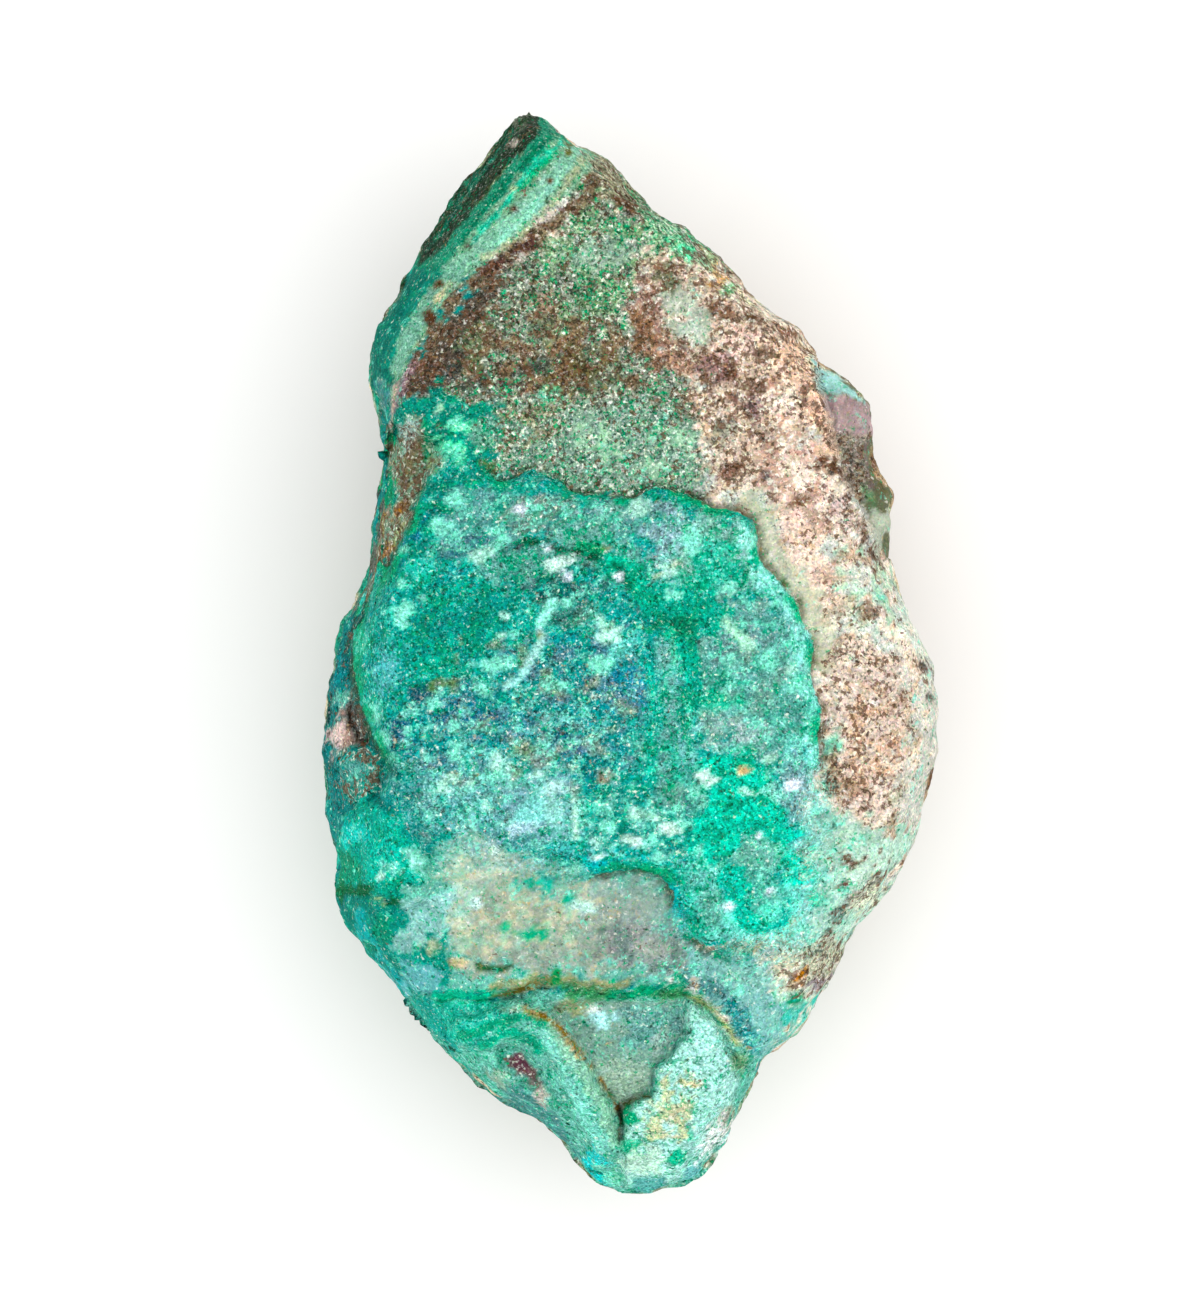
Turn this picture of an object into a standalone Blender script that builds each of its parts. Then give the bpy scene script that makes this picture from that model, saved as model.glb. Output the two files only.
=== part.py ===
"""Raw amazonite: one rough stone, lying on a fracture face with its crusted face up.

Metres, +Z up, +Y towards the narrow tip. The origin is on the resting face, under the
middle of the stone's box. The stone is a loft between unlike sections: a plan outline
gives each section's width, tilted planes give its upper face, and a deep rounded keel
closes it below. Blocks then split flat fracture faces off its flanks and its underside.
"""

import math

import bmesh
import bpy
import numpy as np
from mathutils import Matrix, Vector, noise

MM = 0.001
NAME = "amazonite_stone"
LENGTH = 56.0 * MM
WIDTH = 31.8 * MM
HEIGHT = 24.0 * MM

# Plan outline from the tip to the blunt end: (y, x) in mm down each edge.
LEFT_EDGE = (
    (28.0, -5.2), (26.8, -6.7), (24.3, -8.6), (21.2, -10.6), (17.5, -12.7), (15.0, -13.3),
    (12.5, -13.0), (10.5, -12.8), (8.2, -13.0), (3.8, -13.5), (1.4, -14.8), (-0.5, -15.4),
    (-4.4, -15.9), (-7.3, -15.9), (-10.5, -15.2), (-12.9, -15.3), (-14.1, -14.8), (-15.4, -13.7),
    (-18.5, -11.3), (-21.5, -8.7), (-22.8, -6.7), (-24.0, -4.8), (-25.3, -3.4), (-28.0, 0.3),
)
RIGHT_EDGE = (
    (28.0, -5.2), (26.8, -3.6), (24.9, -0.8), (23.0, 1.1), (20.6, 4.5), (17.5, 7.6),
    (15.6, 9.4), (14.0, 11.3), (12.5, 12.6), (10.0, 12.6), (8.2, 13.8), (6.0, 13.4),
    (4.0, 13.6), (2.0, 14.4), (0.0, 15.3), (-3.0, 15.9), (-5.5, 15.7), (-8.0, 14.9),
    (-10.5, 14.1), (-13.0, 12.7), (-16.0, 10.8), (-19.5, 8.6), (-21.0, 7.0), (-25.5, 4.8),
    (-27.2, 3.6), (-28.0, 1.6),
)
# Height of the stone's widest line above the resting face: (y, z) in mm.
LEFT_RIM = ((-28.0, 12.5), (-20.0, 12.5), (-6.0, 13.5), (6.0, 15.0), (20.0, 15.5), (28.0, 15.0))
RIGHT_RIM = ((-28.0, 12.5), (-20.0, 13.5), (-6.0, 16.0), (6.0, 16.0), (12.0, 14.0), (28.0, 15.0))
# How far the keel hangs below the widest line: (y, depth) in mm.
KEEL = ((-28.0, 2.0), (-24.0, 8.0), (-17.0, 16.0), (-2.0, 20.0), (13.0, 18.5), (22.0, 11.0), (28.0, 2.0))

# Upper fracture planes: a point (x, y, z) in mm, then the rise per mm to the right and to the tip.
UPPER_PLANES = {
    "crusted plate": ((-2.0, -3.0, 23.6), (0.015, 0.02)),
    "granular face": ((0.0, 9.0, 23.4), (-0.04, -0.13)),
    "tan right side": ((9.5, -3.0, 22.9), (-0.42, 0.0)),
    "shadowed left side": ((-13.2, -4.0, 21.5), (1.7, 0.1)),
    "green upper left": ((-9.5, 19.0, 21.0), (0.75, -0.55)),
    "lower left": ((-9.0, -15.0, 21.5), (0.35, 0.4)),
    "lower right": ((6.0, -17.0, 21.0), (-0.28, 0.32)),
    "blunt end": ((1.0, -25.5, 17.5), (0.0, 0.85)),
}
PLANE_BLEND = 0.35 * MM
SHOULDER = 2.2 * MM

# Raised and sunk areas of the upper face: height in mm, then the plan outline as (x, y) in mm.
RELIEF = {
    "green crust": (
        0.9,
        (
            (-9.8, 10.2), (-5.4, 9.4), (-1.6, 8.3), (3.1, 8.2), (5.7, 7.3), (6.9, 4.5), (9.2, 1.0),
            (9.9, -2.8), (9.9, -8.0), (9.6, -11.7), (7.2, -14.3), (3.9, -15.0), (2.2, -12.2),
            (-1.0, -11.2), (-10.3, -10.1), (-12.3, -6.1), (-13.8, -2.9), (-14.3, 0.4), (-11.3, 6.6),
        ),
    ),
    "rear ledge": (
        -3.6,
        ((9.3, 17.5), (9.9, 13.9), (10.6, 11.1), (11.9, 7.8), (13.1, 5.0), (16.5, 4.0), (16.5, 17.5)),
    ),
    "end hollow": (
        -1.1,
        ((-5.7, -18.2), (2.8, -18.2), (1.2, -21.5), (-0.4, -25.2), (-2.4, -21.4)),
    ),
}
RELIEF_RAMP = 0.7 * MM

# Flank fracture faces: compass angle from +X, lean of the face outward from upright, both in
# degrees, and the distance in mm from the stone's core to the face.
FLANK_CHIPS = {
    "right": (-12.0, 32.0, 12.9),
    "right_rear": (38.0, 36.0, 13.6),
    "tip": (99.0, 55.0, 17.4),
    "left_front": (202.0, 29.0, 13.8),
    "left_rear": (148.0, 40.0, 13.0),
    "end_left": (243.0, 49.0, 16.6),
    "end_right": (300.0, 44.0, 17.6),
}
CORE = Vector((0.0, 0.0, 9.5)) * MM

SECTIONS = 60
POINTS_ROUND = 46
LUMP = 0.45 * MM
LUMP_SIZE = 5.0 * MM
CUTTER = 60.0 * MM


def clear_scene():
    for obj in list(bpy.data.objects):
        bpy.data.objects.remove(obj, do_unlink=True)


def new_collection(name):
    collection = bpy.data.collections.new(name)
    bpy.context.scene.collection.children.link(collection)
    return collection


def along(points, y):
    """Value at y of a run of (y, value) points in mm, in metres, with the corners eased."""
    pairs = sorted(points)
    at, value = np.array(pairs).T * MM
    ease = 0.5 * MM
    return sum(np.interp(y + step, at, value) for step in (-ease, 0.0, ease)) / 3.0


def smooth_least(surfaces, blend):
    """The lowest of several surfaces, rounded where they cross."""
    stack = np.stack(surfaces)
    low = stack.min(axis=0)
    return low - blend * np.log(np.exp((low - stack) / blend).sum(axis=0))


def depth_inside(outline, x, y):
    """Distance from each point to a plan outline, positive inside it and negative outside."""
    corners = np.array(outline) * MM
    nearest = np.full(x.shape, np.inf)
    inside = np.zeros(x.shape, bool)
    for (ax, ay), (bx, by) in zip(corners, np.roll(corners, -1, axis=0)):
        run, rise = bx - ax, by - ay
        share = ((x - ax) * run + (y - ay) * rise) / (run * run + rise * rise)
        share = np.clip(share, 0.0, 1.0)
        nearest = np.minimum(nearest, np.hypot(x - ax - share * run, y - ay - share * rise))
        if rise != 0.0:
            crossed = ((ay > y) != (by > y)) & (x < ax + (y - ay) * run / rise)
            inside ^= crossed
    return np.where(inside, nearest, -nearest)


def upper_face(x, y):
    """Height of the upper face: the lowest of its fracture planes, with its raised and sunk areas."""
    planes = []
    for (px, py, pz), (rise_right, rise_tip) in UPPER_PLANES.values():
        planes.append(pz * MM + rise_right * (x - px * MM) + rise_tip * (y - py * MM))
    height = smooth_least(planes, PLANE_BLEND)
    for rise, outline in RELIEF.values():
        share = np.clip(0.5 + depth_inside(outline, x, y) / RELIEF_RAMP, 0.0, 1.0)
        height += rise * MM * share
    return height


def stone_grid():
    """Points of the loft, as an array of sections by points round each section.

    The angle round a section starts at its right edge and runs over the top. The height
    above the widest line reaches the upper face over the shoulder's width, and below it
    the section is a deep oval.
    """
    share = (np.arange(1, SECTIONS) / SECTIONS)[:, None]
    y = 0.5 * LENGTH * np.cos(math.pi * share)
    angle = (2.0 * math.pi * np.arange(POINTS_ROUND) / POINTS_ROUND)[None, :]
    left, right = along(LEFT_EDGE, y), along(RIGHT_EDGE, y)
    half = 0.5 * (right - left)
    across = np.cos(angle)
    x, y = np.broadcast_arrays(0.5 * (right + left) + half * across, y)
    to_right = 0.5 + 0.5 * across
    rim_height = to_right * along(RIGHT_RIM, y) + (1.0 - to_right) * along(LEFT_RIM, y)
    from_edge = np.minimum(half * (1.0 - np.abs(across)) / SHOULDER, 1.0)
    from_end = np.minimum((0.5 * LENGTH - np.abs(y)) / SHOULDER, 1.0)
    shoulder = np.sqrt(1.0 - (1.0 - from_edge) ** 2) * np.sqrt(1.0 - (1.0 - from_end) ** 2)
    above = np.maximum(upper_face(x, y) - rim_height, 0.0) * shoulder
    below = -along(KEEL, y) * np.abs(np.sin(angle)) ** 0.8
    z = rim_height + np.where(np.sin(angle) >= 0.0, above, below)
    return np.stack((x, y, z), axis=-1)


def end_point(row):
    """The point that closes the loft past its first or last section."""
    end = row.mean(axis=0)
    end[1] = math.copysign(0.5 * LENGTH, end[1])
    return end


def loft_mesh():
    """Skins the sections with quads and closes both ends with a fan."""
    grid = stone_grid()
    mesh = bmesh.new()
    rings = [[mesh.verts.new(point) for point in row] for row in grid]
    for ring, following in zip(rings, rings[1:]):
        for this in range(POINTS_ROUND):
            after = (this + 1) % POINTS_ROUND
            mesh.faces.new((ring[this], ring[after], following[after], following[this]))
    for ring, row in ((rings[0], grid[0]), (rings[-1], grid[-1])):
        tip = mesh.verts.new(end_point(row))
        for this in range(POINTS_ROUND):
            mesh.faces.new((ring[(this + 1) % POINTS_ROUND], ring[this], tip))
    bmesh.ops.recalc_face_normals(mesh, faces=mesh.faces)
    return mesh


def add_lumps(mesh):
    """Moves each point along its normal by smooth noise, so that no face is machine flat."""
    mesh.normal_update()
    shifts = [v.normal * noise.noise(v.co / LUMP_SIZE) * LUMP for v in mesh.verts]
    for vert, shift in zip(mesh.verts, shifts):
        vert.co += shift


def fit_to_size(mesh):
    """Stretches the loft to the stone's length and width, with its top at the stone's height."""
    points = np.array([v.co for v in mesh.verts])
    low, high = points.min(axis=0), points.max(axis=0)
    middle = 0.5 * (low + high)
    stretch = np.array((WIDTH, LENGTH, 1.0)) / np.array((high[0] - low[0], high[1] - low[1], 1.0))
    move = Vector((-middle[0], -middle[1], HEIGHT - high[2]))
    bmesh.ops.translate(mesh, verts=mesh.verts, vec=move)
    bmesh.ops.scale(mesh, verts=mesh.verts, vec=Vector(stretch))


def add_cutter(name, collection, inner_face):
    """A cube whose face at local -X lies on inner_face, a matrix with its X axis pointing out."""
    mesh = bmesh.new()
    bmesh.ops.create_cube(mesh, size=CUTTER)
    bmesh.ops.translate(mesh, verts=mesh.verts, vec=Vector((0.5 * CUTTER, 0.0, 0.0)))
    data = bpy.data.meshes.new(name)
    mesh.to_mesh(data)
    mesh.free()
    cutter = bpy.data.objects.new(name, data)
    cutter.matrix_world = inner_face
    cutter.hide_render = True
    cutter.display_type = "WIRE"
    collection.objects.link(cutter)
    return cutter


def chip_plane(angle, lean, distance):
    """Matrix of a flank face: turned to its compass angle and leaning out over the base."""
    turn = Matrix.Rotation(math.radians(angle), 4, "Z") @ Matrix.Rotation(math.radians(lean), 4, "Y")
    return Matrix.Translation(CORE) @ turn @ Matrix.Translation((distance * MM, 0.0, 0.0))


def split_off(stone, cutter):
    cut = stone.modifiers.new("split " + cutter.name, "BOOLEAN")
    cut.operation = "DIFFERENCE"
    cut.solver = "EXACT"
    cut.object = cutter


def stone_material():
    material = bpy.data.materials.new("amazonite")
    material.use_nodes = True
    shader = material.node_tree.nodes["Principled BSDF"]
    shader.inputs["Base Color"].default_value = (0.22, 0.38, 0.28, 1.0)
    shader.inputs["Roughness"].default_value = 0.65
    shader.inputs["Metallic"].default_value = 0.0
    return material


def build():
    clear_scene()
    parts = new_collection("raw_amazonite")
    cutters = new_collection("fracture_cutters")
    mesh = loft_mesh()
    add_lumps(mesh)
    fit_to_size(mesh)
    data = bpy.data.meshes.new(NAME)
    mesh.to_mesh(data)
    mesh.free()
    data.shade_smooth()
    data.materials.append(stone_material())
    stone = bpy.data.objects.new(NAME, data)
    parts.objects.link(stone)
    under = Matrix.Rotation(math.radians(90.0), 4, "Y")
    split_off(stone, add_cutter("resting_face", cutters, under))
    for name, (angle, lean, distance) in FLANK_CHIPS.items():
        cutter = add_cutter(name + "_face", cutters, chip_plane(angle, lean, distance))
        split_off(stone, cutter)


build()
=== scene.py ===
# Raw amazonite: one rough stone on its back, crusted face up, on a pale table.
# Plan places are in mm from the middle of the stone, +X to the tan side and +Y to the tip.
import math

import bpy
import numpy as np
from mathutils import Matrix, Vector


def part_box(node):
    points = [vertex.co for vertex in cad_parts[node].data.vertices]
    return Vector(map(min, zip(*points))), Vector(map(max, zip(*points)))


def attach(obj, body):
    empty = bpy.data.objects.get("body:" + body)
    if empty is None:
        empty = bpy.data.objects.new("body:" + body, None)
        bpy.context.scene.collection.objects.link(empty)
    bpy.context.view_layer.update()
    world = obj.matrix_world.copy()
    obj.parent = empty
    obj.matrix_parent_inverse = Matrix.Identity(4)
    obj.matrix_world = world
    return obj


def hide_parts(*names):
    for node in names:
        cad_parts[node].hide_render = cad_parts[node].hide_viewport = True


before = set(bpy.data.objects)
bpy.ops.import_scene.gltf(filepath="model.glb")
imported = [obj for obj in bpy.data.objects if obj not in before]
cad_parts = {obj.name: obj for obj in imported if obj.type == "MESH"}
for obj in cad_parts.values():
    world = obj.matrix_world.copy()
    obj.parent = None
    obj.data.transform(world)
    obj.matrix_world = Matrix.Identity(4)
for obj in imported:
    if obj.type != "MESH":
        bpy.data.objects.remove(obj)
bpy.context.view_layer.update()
stoneLow, stoneHigh = (np.array(corner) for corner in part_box("amazonite_stone"))
stoneLength = 56.0    # mm
mm = (stoneHigh[1] - stoneLow[1]) / stoneLength
print("frame loaded, stone box", [round(v / mm, 1) for v in (*stoneLow, *stoneHigh)])


# fades, noise and plan shapes

def fade(value, start, stop):
    # smooth step from 0 at start to 1 at stop
    share = np.clip((value - start) / (stop - start), 0.0, 1.0)
    return share * share * (3.0 - 2.0 * share)


def scatter(ix, iy, iz, seed):
    # whole-number hash of a lattice corner, spread over -1 to 1
    mixed = (ix * 374761393 + iy * 668265263 + iz * 1103515245 + seed * 362437) & 0xFFFFFFFF
    mixed = ((mixed ^ (mixed >> 13)) * 1274126177) & 0xFFFFFFFF
    mixed = ((mixed ^ (mixed >> 15)) * 2246822519) & 0xFFFFFFFF
    mixed = mixed ^ (mixed >> 16)
    return mixed / 2147483647.5 - 1.0


def cloud(places, size, seed):
    # gradient noise: each lattice corner holds a slope, and the eight slopes round a point are
    # blended with the fifth-power ease; about -1 to 1
    spot = places / size
    cell = np.floor(spot).astype(np.int64)
    part = spot - cell
    ease = part ** 3 * (part * (part * 6.0 - 15.0) + 10.0)
    total = np.zeros(len(places))
    for corner in range(8):
        step = np.array([corner & 1, corner >> 1 & 1, corner >> 2 & 1])
        at = cell + step
        away = part - step
        weight = np.prod(np.where(step, ease, 1.0 - ease), axis=1)
        slope = sum(scatter(*at.T, seed + 17 * axis) * away[:, axis] for axis in range(3))
        total += weight * slope
    return total * 1.4


def clouds(places, size, seed, layers=3):
    # sum of clouds, each half the size and half the strength of the one before
    return sum(cloud(places, size / 2 ** k, seed + 101 * k) / 2 ** k for k in range(layers))


def splits(places, size, seed):
    # fracture facets: every jittered lattice cell holds a tilted plane that sinks with the square
    # of the distance, and the highest plane wins, so neighbours meet in a crease; about -1 to 1
    spot = places / size
    cell = np.floor(spot).astype(np.int64)
    best = np.full(len(places), -9.0)
    for corner in range(27):
        at = cell + np.array([corner % 3 - 1, corner // 3 % 3 - 1, corner // 9 - 1])
        jitter = np.stack([scatter(*at.T, seed + axis) for axis in range(3)], axis=1)
        tilt = np.stack([scatter(*at.T, seed + 7 + axis) for axis in range(3)], axis=1)
        away = spot - (at + 0.5 + 0.42 * jitter)
        height = 0.9 * (away * tilt).sum(axis=1) - 1.1 * (away ** 2).sum(axis=1)
        best = np.maximum(best, height + 0.25 * scatter(*at.T, seed + 13))
    return best


def depthInArea(corners, x, y):
    # distance to a closed outline, positive inside it
    corners = np.array(corners)
    nearest = np.full(len(x), 1e9)
    inside = np.zeros(len(x), bool)
    for (ax, ay), (bx, by) in zip(corners, np.roll(corners, -1, axis=0)):
        run, rise = bx - ax, by - ay
        share = np.clip(((x - ax) * run + (y - ay) * rise) / (run * run + rise * rise + 1e-9), 0.0, 1.0)
        nearest = np.minimum(nearest, np.hypot(x - ax - share * run, y - ay - share * rise))
        if rise:
            inside ^= ((ay > y) != (by > y)) & (x < ax + (y - ay) * run / rise)
    return np.where(inside, nearest, -nearest)


def depthInLine(points, x, y, width):
    # half the width less the distance to an open run of points
    nearest = np.full(len(x), 1e9)
    for (ax, ay), (bx, by) in zip(points, points[1:]):
        run, rise = bx - ax, by - ay
        share = np.clip(((x - ax) * run + (y - ay) * rise) / (run * run + rise * rise + 1e-9), 0.0, 1.0)
        nearest = np.minimum(nearest, np.hypot(x - ax - share * run, y - ay - share * rise))
    return 0.5 * width - nearest


def depthInOval(middle, x, y, size, turn):
    # distance inside an oval of size (long, short), its long axis turned from +X in degrees
    angle = math.radians(turn)
    alongIt = (x - middle[0]) * math.cos(angle) + (y - middle[1]) * math.sin(angle)
    across = (y - middle[1]) * math.cos(angle) - (x - middle[0]) * math.sin(angle)
    reach = np.hypot(alongIt / (0.5 * size[0]), across / (0.5 * size[1]))
    return (1.0 - reach) * 0.5 * min(size)


# the stone's shape

stoneShape = {
    "halfLength": 28.0,     # mm from the middle to the tip
    "rows": 400,            # sections along the stone
    "columns": 246,         # points round a section
    "fineColumns": 640,     # points round a section before they are evened out
    "shoulder": 2.2,        # mm over which the upper face rises from the widest line
    "planeBlend": 0.3,      # mm of rounding where two fracture planes cross
    "rimHeightSeen": 14.0,  # mm: plan places are true at this height
    "reach": 600.0,         # mm from that height to the eye straight above
    "axis": (-2.0, 0.2),    # plan place straight below the eye
    "leftEdge": (
        (28, -5.2), (27.5, -6), (26.8, -6.7), (25.5, -7.6), (24.3, -8.6), (22.4, -9.9), (21.2, -10.7),
        (19.9, -11.3), (18.7, -11.9), (17.8, -12.5), (16.8, -12.9), (15.6, -13.2), (13.8, -13.3),
        (12.5, -13), (10.7, -12.8), (9.4, -12.9), (7.6, -13.1), (5.1, -13.3), (3.8, -13.5), (2.6, -14.1),
        (1.4, -14.8), (0.1, -15.2), (-1.7, -15.6), (-3.6, -15.9), (-5.4, -15.9), (-7.9, -15.8),
        (-9.8, -15.4), (-10.5, -15.1), (-12.3, -15.3), (-13.5, -15), (-14.7, -14.3), (-16.6, -12.7),
        (-18.4, -11.3), (-19.7, -10.2), (-20.9, -9.2), (-22.2, -7.8), (-22.8, -6.7), (-23.4, -5.9),
        (-24, -4.7), (-25.3, -3.4), (-26.5, -2.6), (-27.7, -1.5), (-28, 0.5),
    ),
    "rightEdge": (
        (28, -5.2), (27.4, -4.4), (26.8, -3.6), (25.5, -1.6), (24.3, -0.1), (23, 1.1), (22.4, 2.1),
        (21.2, 3.8), (19.9, 5), (18.7, 6.2), (17.5, 7.6), (16.8, 8.6), (15.6, 9.4), (14.4, 10.6),
        (13.8, 11.5), (13.1, 12.5), (12.5, 12.6), (10.7, 12.5), (9.4, 12.9), (8.8, 13.5), (7.9, 13.8),
        (6.9, 13.5), (5.7, 13.2), (5.1, 13.1), (3.8, 13.6), (2.6, 14.1), (0.7, 14.9), (-1.1, 15.6),
        (-3, 15.9), (-5.4, 15.7), (-7.3, 15.2), (-9.2, 14.6), (-11, 13.9), (-12.9, 12.7), (-14.7, 11.3),
        (-16.6, 10.5), (-18.4, 9.3), (-19.7, 8.6), (-20.9, 7), (-22.2, 6.3), (-24.6, 5.1), (-25.9, 4.5),
        (-27.1, 3.7), (-27.5, 2.7), (-28, 0.5),
    ),
    # height in mm of the widest line, and of the keel below it: (y, value)
    "leftRim": ((-28.0, 12.5), (-20.0, 12.5), (-6.0, 13.5), (6.0, 15.0), (20.0, 15.5), (28.0, 15.0)),
    "rightRim": ((-28.0, 12.5), (-20.0, 13.5), (-6.0, 16.0), (6.0, 16.0), (12.0, 14.0), (28.0, 15.0)),
    "keel": ((-28.0, 2.0), (-24.0, 8.0), (-17.0, 16.0), (-2.0, 20.0), (13.0, 18.5), (22.0, 11.0),
             (28.0, 2.0)),
    # upper fracture planes: a point, then the rise per mm to the right and to the tip
    "planes": {
        "crusted plate": ((-2.0, -3.0, 23.6), (0.015, 0.02)),
        "granular face": ((0.0, 9.0, 23.4), (-0.04, -0.13)),
        "tan right side": ((9.5, -3.0, 22.9), (-0.42, 0.0)),
        "shadowed left side": ((-13.2, -4.0, 21.5), (1.7, 0.1)),
        "green upper left": ((-9.5, 19.0, 21.0), (0.75, -0.55)),
        "lower left": ((-9.0, -15.0, 21.5), (0.35, 0.4)),
        "lower right": ((6.0, -17.0, 21.0), (-0.28, 0.32)),
        "blunt end": ((1.0, -25.5, 17.5), (0.0, 0.85)),
    },
    "ends": ((-5.2, 28.0, 15.0), (0.5, -28.0, 12.5)),    # tip and blunt end
    # flank fracture faces: compass angle and outward lean in degrees, distance in mm from the core
    "core": (0.0, 0.0, 9.5),
    "chips": (
        (-12.0, 32.0, 12.9), (38.0, 36.0, 13.6), (99.0, 55.0, 17.4), (202.0, 29.0, 13.8),
        (148.0, 40.0, 13.0), (243.0, 49.0, 16.6), (300.0, 44.0, 17.6),
    ),
}


def along(points, y, ease=0.25):
    # value at y of a run of (y, value) points, its corners eased
    at, value = np.array(sorted(points)).T
    return sum(np.interp(y + step, at, value) for step in (-ease, 0.0, ease)) / 3.0


def lowestOf(surfaces, blend):
    # lowest of several surfaces, rounded where they cross: minus blend times the log of the summed
    # exponentials
    stack = np.stack(surfaces)
    low = stack.min(axis=0)
    return low - blend * np.log(np.exp((low - stack) / blend).sum(axis=0))


def facePlanes(s, x, y):
    # lowest fracture plane: a point's height plus the rise per mm times the way from that point
    planes = []
    for (px, py, pz), (riseRight, riseTip) in s["planes"].values():
        planes.append(pz + riseRight * (x - px) + riseTip * (y - py))
    return lowestOf(planes, s["planeBlend"])


def rimHeight(s, x, y):
    # height of the widest line, straight across from the left edge's to the right edge's
    left, right = along(s["leftEdge"], y), along(s["rightEdge"], y)
    toRight = np.clip((x - left) / np.maximum(right - left, 1e-6), 0.0, 1.0)
    return toRight * along(s["rightRim"], y) + (1.0 - toRight) * along(s["leftRim"], y)


def sections(s):
    # one closed section per row: from its right edge over the upper face, back under the keel.
    # Above the widest line the height reaches the fracture planes over a quarter-round shoulder,
    # below it the section is a deep oval, sine to the power 0.8
    share = (np.arange(1, s["rows"]) / s["rows"])[:, None]
    y = s["halfLength"] * (0.7 * (1.0 - 2.0 * share) + 0.3 * np.cos(math.pi * share))
    angle = (2.0 * math.pi * np.arange(s["fineColumns"]) / s["fineColumns"])[None, :]
    left, right = along(s["leftEdge"], y), along(s["rightEdge"], y)
    half = 0.5 * (right - left)
    x, y = np.broadcast_arrays(0.5 * (right + left) + half * np.cos(angle), y)
    rim = rimHeight(s, x, y)
    fromEdge = np.clip(half * (1.0 - np.abs(np.cos(angle))) / s["shoulder"], 0.0, 1.0)
    fromEnd = np.clip((s["halfLength"] - np.abs(y)) / s["shoulder"], 0.0, 1.0)
    shoulder = np.sqrt((1.0 - (1.0 - fromEdge) ** 2) * (1.0 - (1.0 - fromEnd) ** 2))
    above = np.maximum(facePlanes(s, x, y) - rim, 0.0) * shoulder
    below = -along(s["keel"], y) * np.abs(np.sin(angle)) ** 0.8
    z = rim + np.where(np.sin(angle) >= 0.0, above, below)
    return np.stack((x, y, np.maximum(z, 0.0)), axis=-1), np.broadcast_to(np.sin(angle) < 0.0, x.shape)


def evenOut(s, points, under):
    # spreads the points of every section evenly by weighted length: the upper face counts most,
    # the flanks less and the resting face least. Rows are laid end to end for one interpolation
    weight = np.where(under, np.where(points[..., 2] > 0.05, 0.62, 0.22), 1.0)
    closing = np.concatenate((points, points[:, :1]), axis=1)
    run = np.cumsum(np.linalg.norm(np.diff(closing, axis=1), axis=2) * weight, axis=1)
    run = np.concatenate((np.zeros((len(run), 1)), run), axis=1)
    shift = np.arange(len(run))[:, None] * (run.max() + 1.0)
    wanted = run[:, -1:] * np.arange(s["columns"]) / s["columns"] + shift
    evened = [np.interp(wanted.ravel(), (run + shift).ravel(), closing[..., k].ravel()) for k in range(3)]
    return np.stack(evened, axis=-1).reshape(len(run), s["columns"], 3)


def outward(grid):
    # unit normals of a grid that closes round its columns: cross product of its two directions
    downRows = np.gradient(grid, axis=0)
    roundColumns = 0.5 * (np.roll(grid, -1, axis=1) - np.roll(grid, 1, axis=1))
    normal = np.cross(roundColumns, downRows)
    return normal / np.maximum(np.linalg.norm(normal, axis=2, keepdims=True), 1e-9)


def splitFlanks(s, points):
    # pulls what lies past a flank fracture plane back onto it
    for compass, lean, distance in s["chips"]:
        turn, tip = math.radians(compass), math.radians(lean)
        face = np.array((math.cos(turn) * math.cos(tip), math.sin(turn) * math.cos(tip), -math.sin(tip)))
        past = np.maximum((points - np.array(s["core"])) @ face - distance, 0.0)
        points = points - past[:, None] * face
    return points


# Marks: places on the upper face. A patch is a closed outline, a stripe a run of points and its
# width, a spot a middle, its length and width and a turn, and allOver is everywhere. After the
# place come the colour, the name of what is mixed into it, how much of it shows, and in mm the
# width of its soft edge and how far that edge strays. "patchy" holds the size of its patches in
# mm and the share of the mark that they cover.
def allOver(colour, mix=None, strength=1.0, **rest):
    return {"colour": colour, "mix": mix, "strength": strength, **rest}


def patch(corners, colour=None, mix=None, strength=1.0, soft=0.4, wander=0.4, **rest):
    return {"depthIn": lambda x, y: depthInArea(corners, x, y), "soft": soft, "wander": wander,
            **allOver(colour, mix, strength, **rest)}


def stripe(points, width, colour=None, mix=None, strength=1.0, soft=0.2, wander=0.2, **rest):
    return {"depthIn": lambda x, y: depthInLine(points, x, y, width), "soft": soft, "wander": wander,
            **allOver(colour, mix, strength, **rest)}


def spot(atX, atY, length, width, turn, colour=None, mix=None, strength=1.0, soft=None, wander=None,
         **rest):
    # its edge is as soft and as ragged as its size allows unless told otherwise
    short = min(length, width)
    soft = min(max(0.3 * short, 0.12), 0.5) if soft is None else soft
    wander = min(max(0.35 * short, 0.1), 0.6) if wander is None else wander
    return {"depthIn": lambda x, y: depthInOval((atX, atY), x, y, (length, width), turn),
            "soft": soft, "wander": wander, **allOver(colour, mix, strength, **rest)}


def flecks(colour, *each):
    # pale flecks with hardly any grain, each given as x, y, length, width and turn
    return [spot(*one, colour, "clean") for one in each]


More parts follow.
